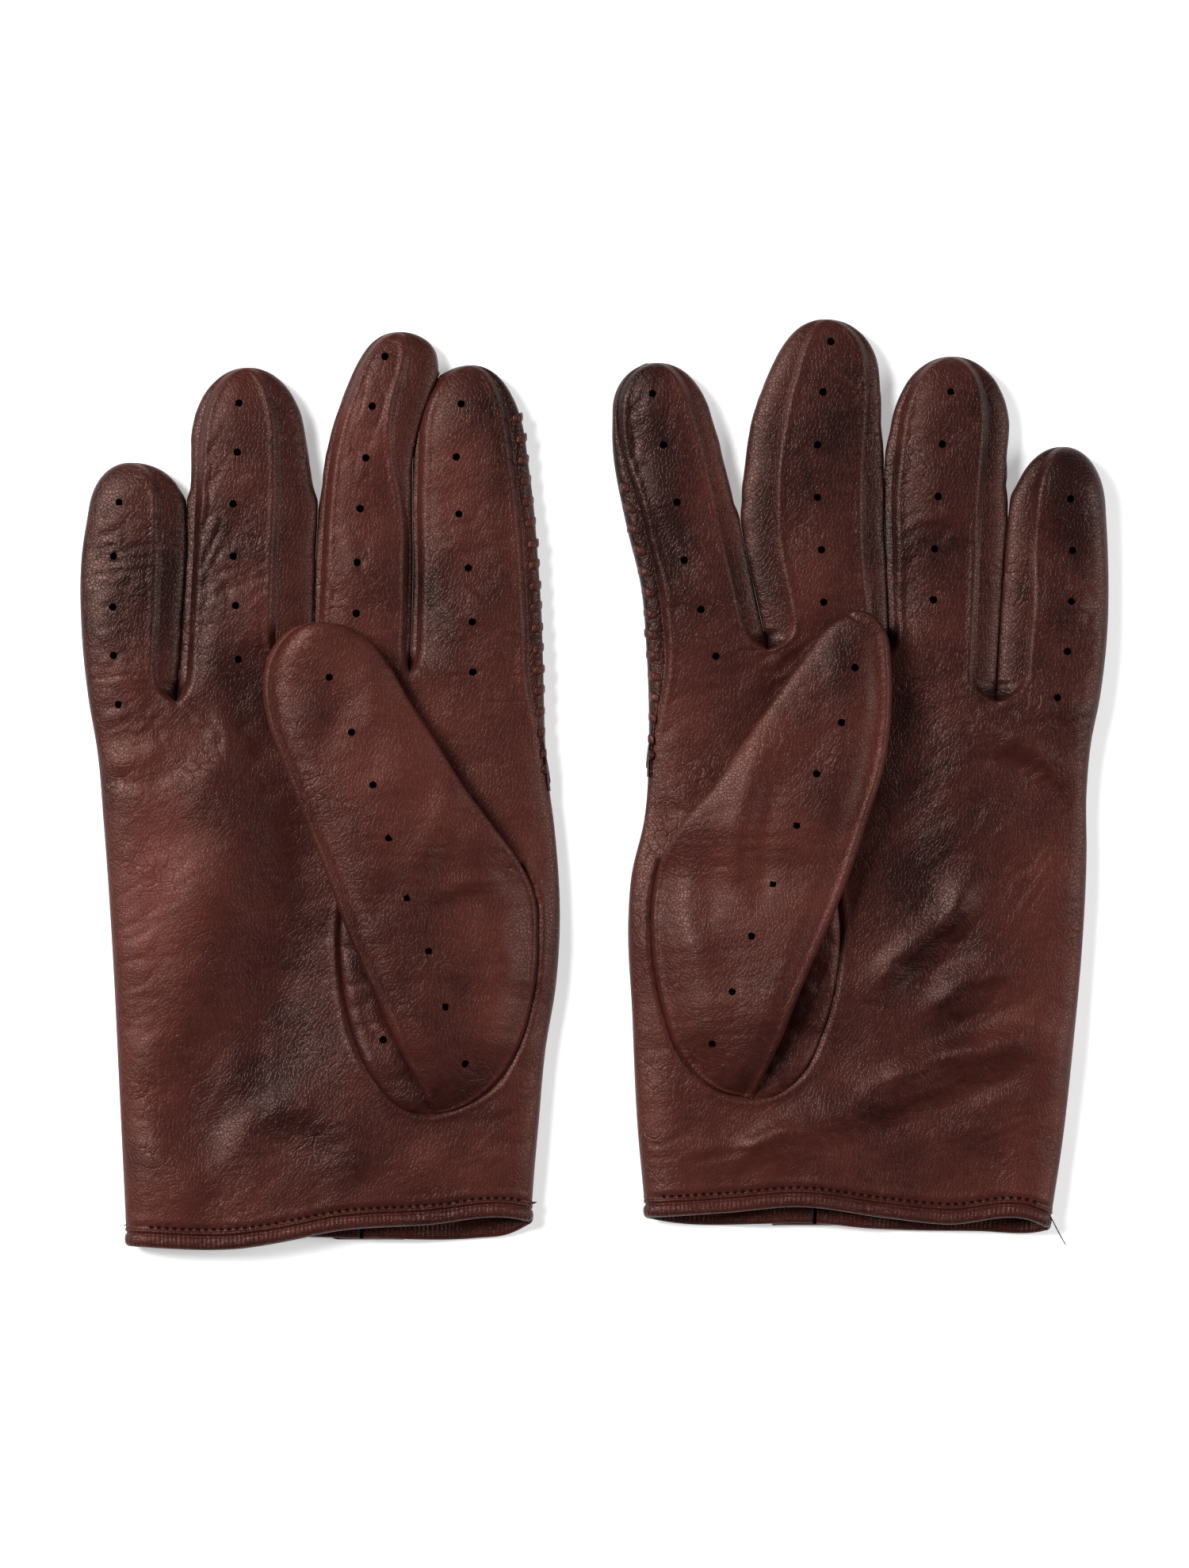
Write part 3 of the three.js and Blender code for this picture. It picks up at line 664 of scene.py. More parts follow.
# %% [markdown]
# The height of a lane joins three things: the dome of the hand, the section of the finger, and the seams.
# Relief is added last, and fades out at seams and side folds, so that neighbours still meet.

# %% One lane of a palm or back
STITCH_PITCH = 1.9
STITCH_LINE = 5.0  # above the cuff's edge
BACK_RELIEF = 0.35  # the back is pressed flat by the glove's weight


def lane(glove, i, y, u, back=False):
    """Points of a panel at heights y and shares u across it: rows by columns by 4, for x, y, z and tone.

    Height is the hand's dome below the crotches and the finger's section above them. Both edges are pulled
    to a height that the neighbouring lane has as well, and where there is a seam they dip into its groove."""
    y, u = y[:, None], np.atleast_2d(u)
    sign = -1 if back else 1
    left, seam_left = lane_edge(glove, i, y, False, back)
    right, seam_right = lane_edge(glove, i, y, True, back)
    x = mix(left, right, u)
    share_left, share_right = seam_shares(glove, i, y, back)
    _, _, tip = finger_frame(glove, i, y)
    crotches = glove["crotches"]
    near = [crotches[max(i - 1, 0)], crotches[min(i, 2)]]
    weight = mix(ease((y - near[0] + 20) / 28), ease((y - near[1] + 20) / 28), u)
    wide = np.abs(right - left)
    merged = weight
    for k, away in ((i - 1, u * wide), (i, (1 - u) * wide)):
        if 0 <= k <= 2:
            merged = merged * (1 - np.exp(-((away / 7) ** 2)) * (1 - ease((y - crotches[k] + 2) / 6)))
    finger = section_height(mix(share_left, share_right, u), back) * tip
    z = mix(hand_height(glove, x, y, back), finger, merged)
    for at_right, seam in ((False, seam_left), (True, seam_right)):
        away = ((1 - u) if at_right else u) * wide
        k = i if at_right else i - 1
        if 0 <= k <= 2:
            own = section_height(share_right if at_right else share_left, back)
            other = seam_shares(glove, k if not at_right else k + 1, y, back)
            other = section_height(other[0] if at_right else other[1], back)
            edge = mix((own + other) / 2, own, ease((y - crotches[k]) / 10)) * tip
            step = ease((y - crotches[k] + 20) / 28) * ease((y - crotches[k] + 2) / 6)
            x_edge = right if at_right else left
            target = mix(hand_height(glove, x_edge, y, back), edge, step)
            now = mix(hand_height(glove, x_edge, y, back), own * tip, step)
            z = z + (target - now) * np.exp(-((away / 6) ** 2))
        groove = -SEAM_DEPTH * np.exp(-((away / SEAM_WIDTH) ** 2))
        lip = LIP * np.exp(-(((away - 1.9) / 0.8) ** 2))
        z = z + seam * (groove + lip) * tip
    calm = calm_edges(glove, x, y)
    calm = calm * mix(1, 1 - np.exp(-((u * wide / 1.5) ** 2)), seam_left)
    calm = calm * mix(1, 1 - np.exp(-(((1 - u) * wide / 1.5) ** 2)), seam_right)
    z = z + relief(glove, x, y, back) * calm * tip * (BACK_RELIEF if back else 1)
    if not back:
        z = z + oval_dip(glove, x, y) * ease((103 - y) / 8)
    gathered = 0.8 + 0.2 * np.cos(x * 2 * np.pi / STITCH_PITCH)
    z = z - 0.34 * np.exp(-(((y - STITCH_LINE) / 0.6) ** 2)) * gathered
    z = z + 0.16 * np.exp(-(((y - STITCH_LINE - 1.5) / 0.7) ** 2))
    if back:
        z = np.minimum(z, MIDDLE - 0.06)
    hem = np.array(glove["hem_back" if back else "hem_front"])
    lift = curve_at(hem[:, 0], hem[:, 1], x) * (1 - ease(y / 45))
    return np.stack([x, y + lift + 0 * x, MIDDLE + sign * z, tone_at(glove, x, y)], axis=-1)


patch = lane(RIGHT, 1, np.array([60.0, 61.0]), np.array([0.0, 0.5, 1.0]))
print("a lane of two rows and three columns is an array of", patch.shape)

# %% [markdown]
# ## From a grid to a mesh
# A grid of points becomes four-sided faces. A perforation is made by leaving out the faces inside it and
# moving the corners round it onto a circle.

# %% Holes and meshes
HOLE = (1.0, 1.0)  # half width and half height of a perforation
SPARE = 0.42  # corners up to this far outside a hole are drawn in to its edge


def punch(points, centre, radius, spare):
    """Which faces of a grid lie inside a round or oval hole. The corners round it are moved onto its edge."""
    offset = points[..., :2] - np.array(centre)
    reach = np.maximum(np.hypot(offset[..., 0] / radius[0], offset[..., 1] / radius[1]), 1e-6)
    inside = reach < 1 + spare / min(radius)
    gone = inside[:-1, :-1] & inside[1:, :-1] & inside[:-1, 1:] & inside[1:, 1:]
    padded = np.pad(gone, 1)
    corners = [padded[:-1, :-1], padded[1:, :-1], padded[:-1, 1:], padded[1:, 1:]]
    edge = np.any(corners, axis=0) & ~np.all(corners, axis=0)
    points[edge, :2] = np.array(centre) + offset[edge] / reach[edge][:, None]
    return gone


def quads(rows, columns, first=0):
    """Corner numbers of the faces of a rows by columns grid of points."""
    number = first + np.arange(rows * columns).reshape(rows, columns)
    return np.stack([number[:-1, :-1], number[:-1, 1:], number[1:, 1:], number[1:, :-1]], axis=-1)


def mesh_from(name, glove, grids, facing, gone=None):
    """One mesh of several grids whose shared edges are merged, turned so that its faces look along facing."""
    corners, faces, wear_and_painted_light, first = [], [], [], 0
    for n, grid in enumerate(grids):
        rows, columns = grid.shape[:2]
        keep = quads(rows, columns, first)
        keep = keep[~gone[n]] if gone is not None else keep.reshape(-1, 4)
        faces.append(keep)
        corners.append(grid[..., :3].reshape(-1, 3))
        wear_and_painted_light.append(grid[..., 3].ravel() if grid.shape[2] == 4 else np.zeros(rows * columns))
        first += rows * columns
    corners, faces, wear_and_painted_light = np.concatenate(corners), np.concatenate(faces), np.concatenate(wear_and_painted_light)
    keys, same = np.unique(np.round(corners, 4), axis=0, return_inverse=True)
    first_of = np.full(len(keys), len(corners))
    np.minimum.at(first_of, same.ravel(), np.arange(len(corners)))
    corners, wear_and_painted_light, faces = corners[first_of], wear_and_painted_light[first_of], same.ravel()[faces]
    a, b, c, d = (corners[faces[:, k]] for k in range(4))
    normal = np.cross(c - a, d - b)
    solid = np.linalg.norm(normal, axis=1) > 1e-9
    faces, normal = faces[solid], normal[solid]
    middle = corners[faces].mean(axis=1)
    look = facing(middle) if callable(facing) else np.array(facing, float)
    if not np.any(look):
        look = middle - corners.mean(axis=0)
    if np.sum(normal * look) < 0:
        faces = faces[:, ::-1]
    used = np.unique(faces)
    renumber = np.zeros(len(corners), int)
    renumber[used] = np.arange(len(used))
    polygons = [list(dict.fromkeys(f)) for f in renumber[faces].tolist()]
    polygons = [f for f in polygons if len(f) > 2]
    mesh = bpy.data.meshes.new(name)
    mesh.from_pydata(((corners[used] * MM) + glove["origin"]).tolist(), [], polygons)
    mesh.attributes.new("tone", "FLOAT", "POINT").data.foreach_set("value", wear_and_painted_light[used].astype(np.float32))
    mesh.shade_smooth()
    piece = bpy.data.objects.new(name, mesh)
    bpy.context.scene.collection.objects.link(piece)
    return piece


print("a perforation is", 2 * HOLE[0], "mm wide")

# %% [markdown]
# Solidify turns a skin into leather of an even thickness. Then a piece is tied to the body it belongs to. A
# piece on a finger or thumb is only baked in place: it would bend between two bodies, as leather has no hinge
# pin.

# %% Thickness, material and body
LEATHER = 0.7


def thicken(piece, thickness=LEATHER):
    """Thickness inwards, then the modifier is made real so that the mesh is final."""
    solid = piece.modifiers.new("leather", "SOLIDIFY")
    solid.thickness = thickness * MM
    solid.offset = -1
    done = bpy.data.meshes.new_from_object(piece.evaluated_get(bpy.context.evaluated_depsgraph_get()))
    piece.modifiers.clear()
    piece.data = done
    done.set_sharp_from_angle(angle=1.0)
    return piece


def finish(piece, material, slot, body=None, joint=None, stands_for=()):
    """Gives a piece its material, and ties it to one body or, when a joint is given, bakes it in place. The
    slot is not used.
    """
    piece.data.materials.clear()
    piece.data.materials.append(material)
    if joint:
        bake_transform(piece)
    else:
        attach(piece, body)
    if stands_for:
        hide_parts(*stands_for)
    return piece


def sew(name, glove, grids, facing, material, slot, gone=None, **ties):
    """A leather piece from its grids: meshed, thickened, and tied to a body, or baked in place where a joint
    is given.
    """
    piece = thicken(mesh_from(name, glove, grids, facing, gone))
    return finish(piece, material, slot, **ties)


print("leather is", LEATHER, "mm thick")

# %% [markdown]
# ## Materials
# Colours are written as the hex values that a screen shows, and one function makes them linear. A second one
# adds a node with its settings and links, so that a material reads from top to bottom.

# %% Colours and nodes
def linear(code):
    """sRGB hex to a linear colour with alpha 1."""
    channels = [int(code[k : k + 2], 16) / 255 for k in (1, 3, 5)]
    return [c / 12.92 if c <= 0.04045 else ((c + 0.055) / 1.055) ** 2.4 for c in channels] + [1]


def add(tree, kind, links=None, **settings):
    """Adds a node, sets its properties and its unlinked inputs, and links the rest."""
    node = tree.nodes.new(kind)
    for key, value in settings.items():
        if key.startswith("in_"):
            socket = key[3:].replace("_", " ")
            node.inputs[int(socket) if socket.isdigit() else socket].default_value = value
        else:
            setattr(node, key, value)
    for socket, source in (links or {}).items():
        tree.links.new(source, node.inputs[socket])
    return node


print("a mid brown is", [round(c, 3) for c in linear("#4f241e")[:3]], "in linear colour")

# %% [markdown]
# Lambskin is chrome tanned, dyed through and finished with a thin, clear coat. That gives a grain too fine to
# see from afar, a soft shine, and hairline cracks where it has been bent. The fourchettes are the same skin,
# and the thread is waxed and nearly black.

# %% Lambskin and thread
GRAIN = 0.9  # mm: cells of the grain, drawn a little coarser than real so that they show
CREASE = 1.3
CRACK = 3.2


def lambskin(name, dark, light, roughness=0.37, shine=0.26):
    """Dyed lambskin: two browns mixed by tone, which holds rubbed and darker places together with painted
    highlight and painted shade, and by slow noise. As bump it has a cellular grain, fine creases and, in
    patches, a web of larger cracks. Pale places, both rubbed ones and painted highlight, are duller than dark
    ones."""
    material = bpy.data.materials.new(name)
    material.use_nodes = True
    tree = material.node_tree
    tree.nodes.clear()
    place = add(tree, "ShaderNodeTexCoord").outputs["Object"]
    patches = add(tree, "ShaderNodeTexNoise", {"Vector": place}, in_Scale=1 / (22 * MM), in_Detail=3.0)
    specks = add(tree, "ShaderNodeTexNoise", {"Vector": place}, in_Scale=1 / (1.6 * MM), in_Detail=2.0)
    both = add(
        tree,
        "ShaderNodeMath",
        {0: specks.outputs["Fac"], 2: patches.outputs["Fac"]},
        operation="MULTIPLY_ADD",
        in_1=0.45,
    )
    # Tone attribute: rubbed and darker dye together with painted highlight and painted shade
    wear_and_light = add(tree, "ShaderNodeAttribute", attribute_name="tone")
    tone = add(
        tree,
        "ShaderNodeMath",
        {0: wear_and_light.outputs["Fac"], 2: both.outputs[0]},
        operation="MULTIPLY_ADD",
        in_1=0.36,
    )
    tone = add(tree, "ShaderNodeMapRange", {"Value": tone.outputs[0]}, in_From_Min=0.275, in_From_Max=1.23)
    colour = add(tree, "ShaderNodeMix", {"Factor": tone.outputs[0]}, data_type="RGBA")
    colour.inputs["A"].default_value = linear(dark)
    colour.inputs["B"].default_value = linear(light)
    edges = "DISTANCE_TO_EDGE"
    cells = add(tree, "ShaderNodeTexVoronoi", {"Vector": place}, feature=edges, in_Scale=1 / (GRAIN * MM))
    web = add(tree, "ShaderNodeMapRange", {"Value": cells.outputs["Distance"]}, in_From_Max=0.12)
    stretched = add(tree, "ShaderNodeMapping", {"Vector": place}, in_Scale=(0.45, 1.0, 1.0))
    along = {"Vector": stretched.outputs[0]}
    creases = add(tree, "ShaderNodeTexNoise", along, in_Scale=1 / (CREASE * MM), in_Detail=4.0)
    grain = add(tree, "ShaderNodeBump", {"Height": web.outputs[0]}, in_Strength=0.4, in_Distance=0.1 * MM)
    bumps = add(
        tree,
        "ShaderNodeBump",
        {"Height": creases.outputs["Fac"], "Normal": grain.outputs[0]},
        in_Strength=0.32,
        in_Distance=0.35 * MM,
    )
    bent = add(tree, "ShaderNodeTexNoise", {"Vector": place}, in_Scale=1 / (4 * MM), in_Detail=1.0)
    bent = add(tree, "ShaderNodeVectorMath", {0: bent.outputs["Color"]}, operation="SCALE", in_Scale=3 * MM)
    moved = add(tree, "ShaderNodeVectorMath", {0: place, 1: bent.outputs[0]}, operation="ADD")
    bent_place = {"Vector": moved.outputs[0]}
    cracks = add(tree, "ShaderNodeTexVoronoi", bent_place, feature=edges, in_Scale=1 / (CRACK * MM))
    cracks = add(tree, "ShaderNodeMapRange", {"Value": cracks.outputs["Distance"]}, in_From_Max=0.1)
    where = add(tree, "ShaderNodeTexNoise", {"Vector": place}, in_Scale=1 / (13 * MM), in_Detail=1.0)
    where = add(
        tree,
        "ShaderNodeMapRange",
        {"Value": where.outputs["Fac"]},
        in_From_Min=0.45,
        in_From_Max=0.72,
        in_To_Max=0.36,
    )
    bumps = add(
        tree,
        "ShaderNodeBump",
        {"Height": cracks.outputs[0], "Strength": where.outputs[0], "Normal": bumps.outputs[0]},
        in_Distance=0.3 * MM,
    )
    gloss = add(
        tree,
        "ShaderNodeMapRange",
        {"Value": tone.outputs[0]},
        in_To_Min=roughness - 0.02,
        in_To_Max=roughness + 0.05,
    )
    skin = add(
        tree,
        "ShaderNodeBsdfPrincipled",
        {"Base Color": colour.outputs["Result"], "Roughness": gloss.outputs[0], "Normal": bumps.outputs[0]},
        in_IOR=1.5,
    )
    skin.inputs["Specular IOR Level"].default_value = shine
    skin.inputs["Specular Tint"].default_value = (1.0, 0.63, 0.54, 1)
    add(tree, "ShaderNodeOutputMaterial", {"Surface": skin.outputs[0]})
    return material


FACE_LEATHER = lambskin("lambskin_face", "#1b0a09", "#4f241e")
SIDE_LEATHER = lambskin("lambskin_fourchette", "#180908", "#47201a")
EDGE_LEATHER = lambskin("lambskin_turned_edge", "#190908", "#4b211c", roughness=0.36)
THREAD = lambskin("waxed_thread", "#0b0404", "#140808", roughness=0.6, shine=0.08)
print("materials:", ", ".join(m.name for m in (FACE_LEATHER, SIDE_LEATHER, EDGE_LEATHER, THREAD)))

# %% [markdown]
# ## Palms and backs
# The rows lie closer together where a crotch turns and where the finger pieces take over, so that the
# shading runs on across the join.

# %% Rows and columns
STEP = 0.8  # between two rows
JOIN_ABOVE = 5.5  # the finger pieces start this far above the higher of their two crotches
FINE = np.array([-0.5, -0.2, 0, 0.2, 0.5, 1.0, 1.6, 2.4])  # rows round a height that matters
SLIT_HALF = 0.35


def rows_between(low, high, *fine):
    """Row heights about STEP apart, with closer rows round the heights in fine."""
    even = np.linspace(low, high, int(round((high - low) / STEP)) + 1)
    close = np.concatenate([np.array([low, high])] + [f + FINE for f in fine])
    close = close[(close >= low) & (close <= high)]
    keep = np.min(np.abs(even[:, None] - close[None, :]), axis=1) > 0.35
    return np.unique(np.round(np.concatenate([even[keep], close]), 5))


def join_height(glove, i):
    """Where finger i's own pieces take over from the palm and back."""
    crotches = glove["crotches"]
    return max(crotches[max(i - 1, 0)], crotches[min(i, 2)]) + JOIN_ABOVE


def crowded(t, k=0.14):
    """Shares 0..1 that start close together: t²/4k up to 2k, then t - k, all over 1 - k."""
    return np.where(t < 2 * k, t * t / (4 * k), t - k) / (1 - k)


def columns(i):
    """Shares across a lane, close together at an edge that is the glove's own side fold."""
    t = np.linspace(0, 1, 38)
    if i == 0:
        return crowded(t)
    if i == 3:
        return 1 - crowded(1 - t)
    return t


def open_vent(glove, i, y, u):
    """Shares across a back lane, with two columns moved onto the slit's lips, and the faces between them."""
    gone = np.zeros((len(y) - 1, len(u) - 1), bool)
    left = lane_edge(glove, i, y[:, None], False, True)[0]
    wide = lane_edge(glove, i, y[:, None], True, True)[0] - left
    slit = glove["thumb_side"] * VENT_X
    near, far = (slit - SLIT_HALF - left) / wide, (slit + SLIT_HALF - left) / wide
    if not 0.05 < near[0, 0] < 0.95:
        return u[None, :] + 0 * left, gone
    k = int(np.searchsorted(u, near[0, 0]))
    low, high = u[k - 1], u[k]
    shifted = np.where(u <= low, u * near / low, far + (u - high) * (1 - far) / (1 - high))
    gone[y[1:] < VENT_TOP, k - 1] = True
    return mix(u, shifted, 1 - ease((y[:, None] - VENT_TOP - 1) / 14)), gone


for glove in GLOVES:
    print(glove["name"], "finger pieces start at", [join_height(glove, n) for n in range(4)], "mm")

# %% [markdown]
# The four lanes are one skin: their shared edges are merged. The perforations below the crotches, the opening
# for the thumb and the slit of the vent are left out of it.

# %% Make the palms and backs
for glove in GLOVES:
    for back in (False, True):
        name = f"{glove['name']}_{'back' if back else 'palm'}_skin"
        grids, gone = [], []
        joins = [join_height(glove, n) for n in range(4)]
        shared = rows_between(SHEET_START, max(joins), SHEET_START, *glove["crotches"], *joins)
        for i in range(4):
            rows = shared[shared <= joins[i] + 1e-6]
            across = columns(i)
            away = np.zeros((len(rows) - 1, len(across) - 1), bool)
            if back:
                across, away = open_vent(glove, i, rows, across)
            grid = lane(glove, i, rows, across, back)
            if not back:
                away |= punch(grid, *glove["cut_out"], SPARE)
                for hole in glove["fingers"][i]["holes"]:
                    if hole[1] < joins[i]:
                        away |= punch(grid, hole, HOLE, SPARE)
            grids.append(grid)
            gone.append(away)
        skin = sew(
            name,
            glove,
            grids,
            (0, 0, -1 if back else 1),
            FACE_LEATHER,
            "glove_leather",
            gone,
            body=f"{glove['name']}_hand",
            stands_for=[f"{glove['name']}_{n}" for n in (["back"] if back else ["palm", "outer_fold"])],
        )
        print(name, len(skin.data.polygons), "faces")

# %% [markdown]
# ## Fingers
# Each finger is four pieces: front panel, back panel and a strip on either side. The hand and the finger are
# given as the bodies between which it folds, but each piece is only baked in place.

# %% Strips between front and back
STRIP_COLUMNS = 15
TOUCH = 0.04  # half of the gap that is left between two fingers pressed together


def strip(glove, i, right, y, count=STRIP_COLUMNS):
    """Points from the front panel's edge round the finger's side to the back panel's edge.

    The angle runs round the finger's section, and what is left at the two edges is taken up by cubes of the
    share across, so that the strip ends exactly on its neighbours. Where the next finger is near, the strip
    swells out to the middle of the gap and is flattened there, as two fingers press on each other."""
    edge = np.array([1.0 if right else 0.0])
    front = lane(glove, i, y, edge)[:, 0, :3]
    rear = lane(glove, i, y, edge, back=True)[:, 0, :3]
    t = np.linspace(0, 1, count)[None, :]
    middle, half, tip = (v[:, None] for v in finger_frame(glove, i, y))
    share = np.abs(seam_shares(glove, i, y, False)[int(right)])[:, None] + 0 * t
    back_share = np.abs(seam_shares(glove, i, y, True)[int(right)])[:, None] + 0 * t
    top = np.arccos(np.clip(share, 0, 1) ** (FINGER_POWER / 2))
    low = -np.arccos(np.clip(back_share, 0, 1) ** (BACK_POWER / 2))
    angle = mix(top, low, t)
    over = angle > 0
    power = np.where(over, FINGER_POWER, BACK_POWER)
    rise = np.where(over, FINGER_RISE, BACK_DROP)
    x = middle + (half if right else -half) * np.abs(np.cos(angle)) ** (2 / power)
    z = MIDDLE + tip * rise * np.sign(angle) * np.abs(np.sin(angle)) ** (2 / power)
    points = np.stack([x, y[:, None] + 0 * x, z], axis=-1)
    points += (front - points[:, 0])[:, None, :] * ((1 - t) ** 3)[..., None]
    points += (rear - points[:, -1])[:, None, :] * (t**3)[..., None]
    calm = np.sin(np.pi * t) * tip
    seed = 70 + 10 * i + (5 if right else 0)
    along, round_ = points[..., 1], points[..., 2]
    soft = 0.35 * noise(along, round_, 9, seed) + 0.12 * noise(along, round_, 2.2, seed)
    side = 1 if right else -1
    points[..., 0] += side * calm * (soft - 0.1)
    points[..., 2] += 0.5 * calm * soft
    if 0 <= i + side <= 3:
        other, other_half, _ = (v[:, None] for v in finger_frame(glove, i + side, y))
        gap = np.abs(other - middle) - half - other_half
        swollen = 0.7 * calm * np.cos(angle) ** 2 * ease((2.4 - gap) / 1.4)
        out = side * (points[..., 0] - middle) - half + swollen
        points[..., 0] = middle + side * (half + np.minimum(out, np.maximum(gap / 2 - TOUCH, 0)))
    return points


def toned(glove, points, darker=0.0):
    """A strip's points with their tone as the fourth value."""
    tone = tone_at(glove, points[..., 0], points[..., 1]) - darker
    return np.concatenate([points, tone[..., None]], axis=-1)


print("a strip has", STRIP_COLUMNS, "points across")

# %% [markdown]
# At a crotch the strips of two fingers run into one. There they are drawn together, sag and crumple.

# %% Crotches and rows
DRAWN = 6  # height over which two strips are drawn together
SAG = 4.2
CRUMPLE = (0.8, 1.2)  # along the glove, and up


def crotch_strip(glove, k):
    """The fourchette between finger k and the next, from one finger's pieces down round the crotch and up."""
    x_crotch, low = crotch_point(glove, k)
    legs = []
    for i, right in ((k, True), (k + 1, False)):
        y = rows_between(low, join_height(glove, i), low)
        leg = strip(glove, i, right, y)
        t = np.linspace(0, 1, STRIP_COLUMNS)
        pull = (1 - ease((y - low) / DRAWN))[:, None]
        leg[..., 0] = mix(leg[..., 0], x_crotch, pull**2 * (1 - (1 - 2 * t) ** 4))
        crumple = noise(leg[..., 1], leg[..., 2] + 9 * k, 2.4, 90) * np.sin(np.pi * t) * pull
        leg[..., 1] += 2.0 * pull * np.sin(np.pi * t) + CRUMPLE[0] * crumple
        leg[..., 2] += CRUMPLE[1] * crumple - SAG * pull * np.sin(np.pi * t) * (1 - t)
        leg[..., 2] = np.maximum(leg[..., 2], np.minimum(1.0, leg[:, -1:, 2]))
        # Painted shade: the strips are darkened towards the bottom of the crotch
        legs.append(toned(glove, leg, 2.6 * (1 - ease((y - low) / 5))[:, None]))
    middle = (legs[0][0] + legs[1][0]) / 2
    legs[0][0] = legs[1][0] = middle
    return [np.concatenate([legs[0][::-1], legs[1][1:]])]


def finger_rows(glove, i, low):
    """Rows from low to the fingertip, closing in on it as a circle does."""
    tip = glove["fingers"][i]["tip"][1]
    start = tip - TIP_ROUND
    body = rows_between(low, start, low)
    cap = start + TIP_ROUND * np.sin(np.linspace(0, np.pi / 2, 22))
    return np.concatenate([body, cap[1:]])


print("rows of the right middle finger:", len(finger_rows(RIGHT, 2, join_height(RIGHT, 2))))

# %% [markdown]
# Every piece of a finger is given the same two bodies and the same stretch, and is baked in place. The
# fourchettes' lower ends belong to the hand and run round the crotch as one piece.

# %% Where a finger bends
BEND = 11  # half the length over which a finger bends


def bend_of(glove, i):
    """The two bodies and the stretch over which finger i bends."""
    finger = glove["fingers"][i]
    fold = finger["tip"][1] - finger["fold"]
    at = lambda y: tuple(glove["origin"] + np.array([finger["tip"][0], y, MIDDLE]) * MM)
    return f"{glove['name']}_hand", f"{glove['name']}_{finger['name']}", at(fold - BEND), at(fold + BEND)


print("the right middle finger bends between", bend_of(RIGHT, 2)[0], "and", bend_of(RIGHT, 2)[1])

# %% [markdown]
# Front and back panels come first, then the strips beside them, the crotches, and the laced side of the hand.

# %% Make the fingers
OUTER_DARK = 0.7  # how much darker the laced side is than the leather beside it
for glove in GLOVES:
    side = glove["name"]
    for i, finger in enumerate(glove["fingers"]):
        y = finger_rows(glove, i, join_height(glove, i))
        node = f"{side}_{finger['name']}"
        for back in (False, True):
            grid = lane(glove, i, y, columns(i), back)
            away = np.zeros(np.array(grid.shape[:2]) - 1, bool)
            if not back:
                for hole in finger["holes"]:
                    if hole[1] > join_height(glove, i):
                        away |= punch(grid, hole, HOLE, SPARE)
            part = "back" if back else "front"
            stands = [f"{node}_{part}"]
            if finger["name"] == "pinky" and not back:
                stands.append(f"{node}_outer_fold")
            sew(
                f"{node}_{part}_skin",
                glove,
                [grid],
                (0, 0, -1 if back else 1),
                FACE_LEATHER,
                "glove_leather",
                [away],
                joint=bend_of(glove, i),
                stands_for=stands,
            )
        for right in (False, True):
            outer = (i == 3) if right else (i == 0)
            if outer and finger["name"] != "index":
                continue
            cad = f"{finger['name']}_fourchette_{'right' if right else 'left'}"
            if outer:
                cad = "index_side_strip"
            grid = toned(glove, strip(glove, i, right, y), OUTER_DARK if outer else 0.0)
            sew(
                f"{side}_{cad}_skin",
                glove,
                [grid],
                (1 if right else -1, 0, 0),
                SIDE_LEATHER,
                "side_leather",
                joint=bend_of(glove, i),
                stands_for=[f"{side}_{cad}"],
            )
    for k in range(3):
        a, b = glove["fingers"][k]["name"], glove["fingers"][k + 1]["name"]
        node = f"{side}_fourchette_{a}_{b}"
        sew(
            f"{node}_skin",
            glove,
            crotch_strip(glove, k),
            (0, 1, 0),
            SIDE_LEATHER,
            "side_leather",
            body=f"{side}_hand",
            stands_for=[node],
        )
    i = 3 if glove["thumb_side"] == 1 else 0
    y = rows_between(STRIP_START - 2, join_height(glove, i), join_height(glove, i))
    sew(
        f"{side}_side_seam_skin",
        glove,
        [toned(glove, strip(glove, i, i == 3, y), OUTER_DARK)],
        (glove["thumb_side"], 0, 0),
        SIDE_LEATHER,
        "side_leather",
        body=f"{side}_hand",
        stands_for=[f"{side}_side_seam"],
    )
    print(side, "fingers made")

# %% [markdown]
# ## Thumb
# The thumb is a flat tube sewn into an oval hole in the palm and folded over it. Its visible skin is a leaf
# between two lines: the fold on one side, and on the other the oval seam and then the thumb's outer side.

# %% Thumb skin
THUMB_MIDDLE = 12.8  # height of the thumb's outer side fold
FOLD_LEVEL = 13.6  # height of its inner fold
THUMB_RISE = 2.8
ROOT_RISE = 4.2
THUMB_ROWS = 190
THUMB_COLUMNS = 60


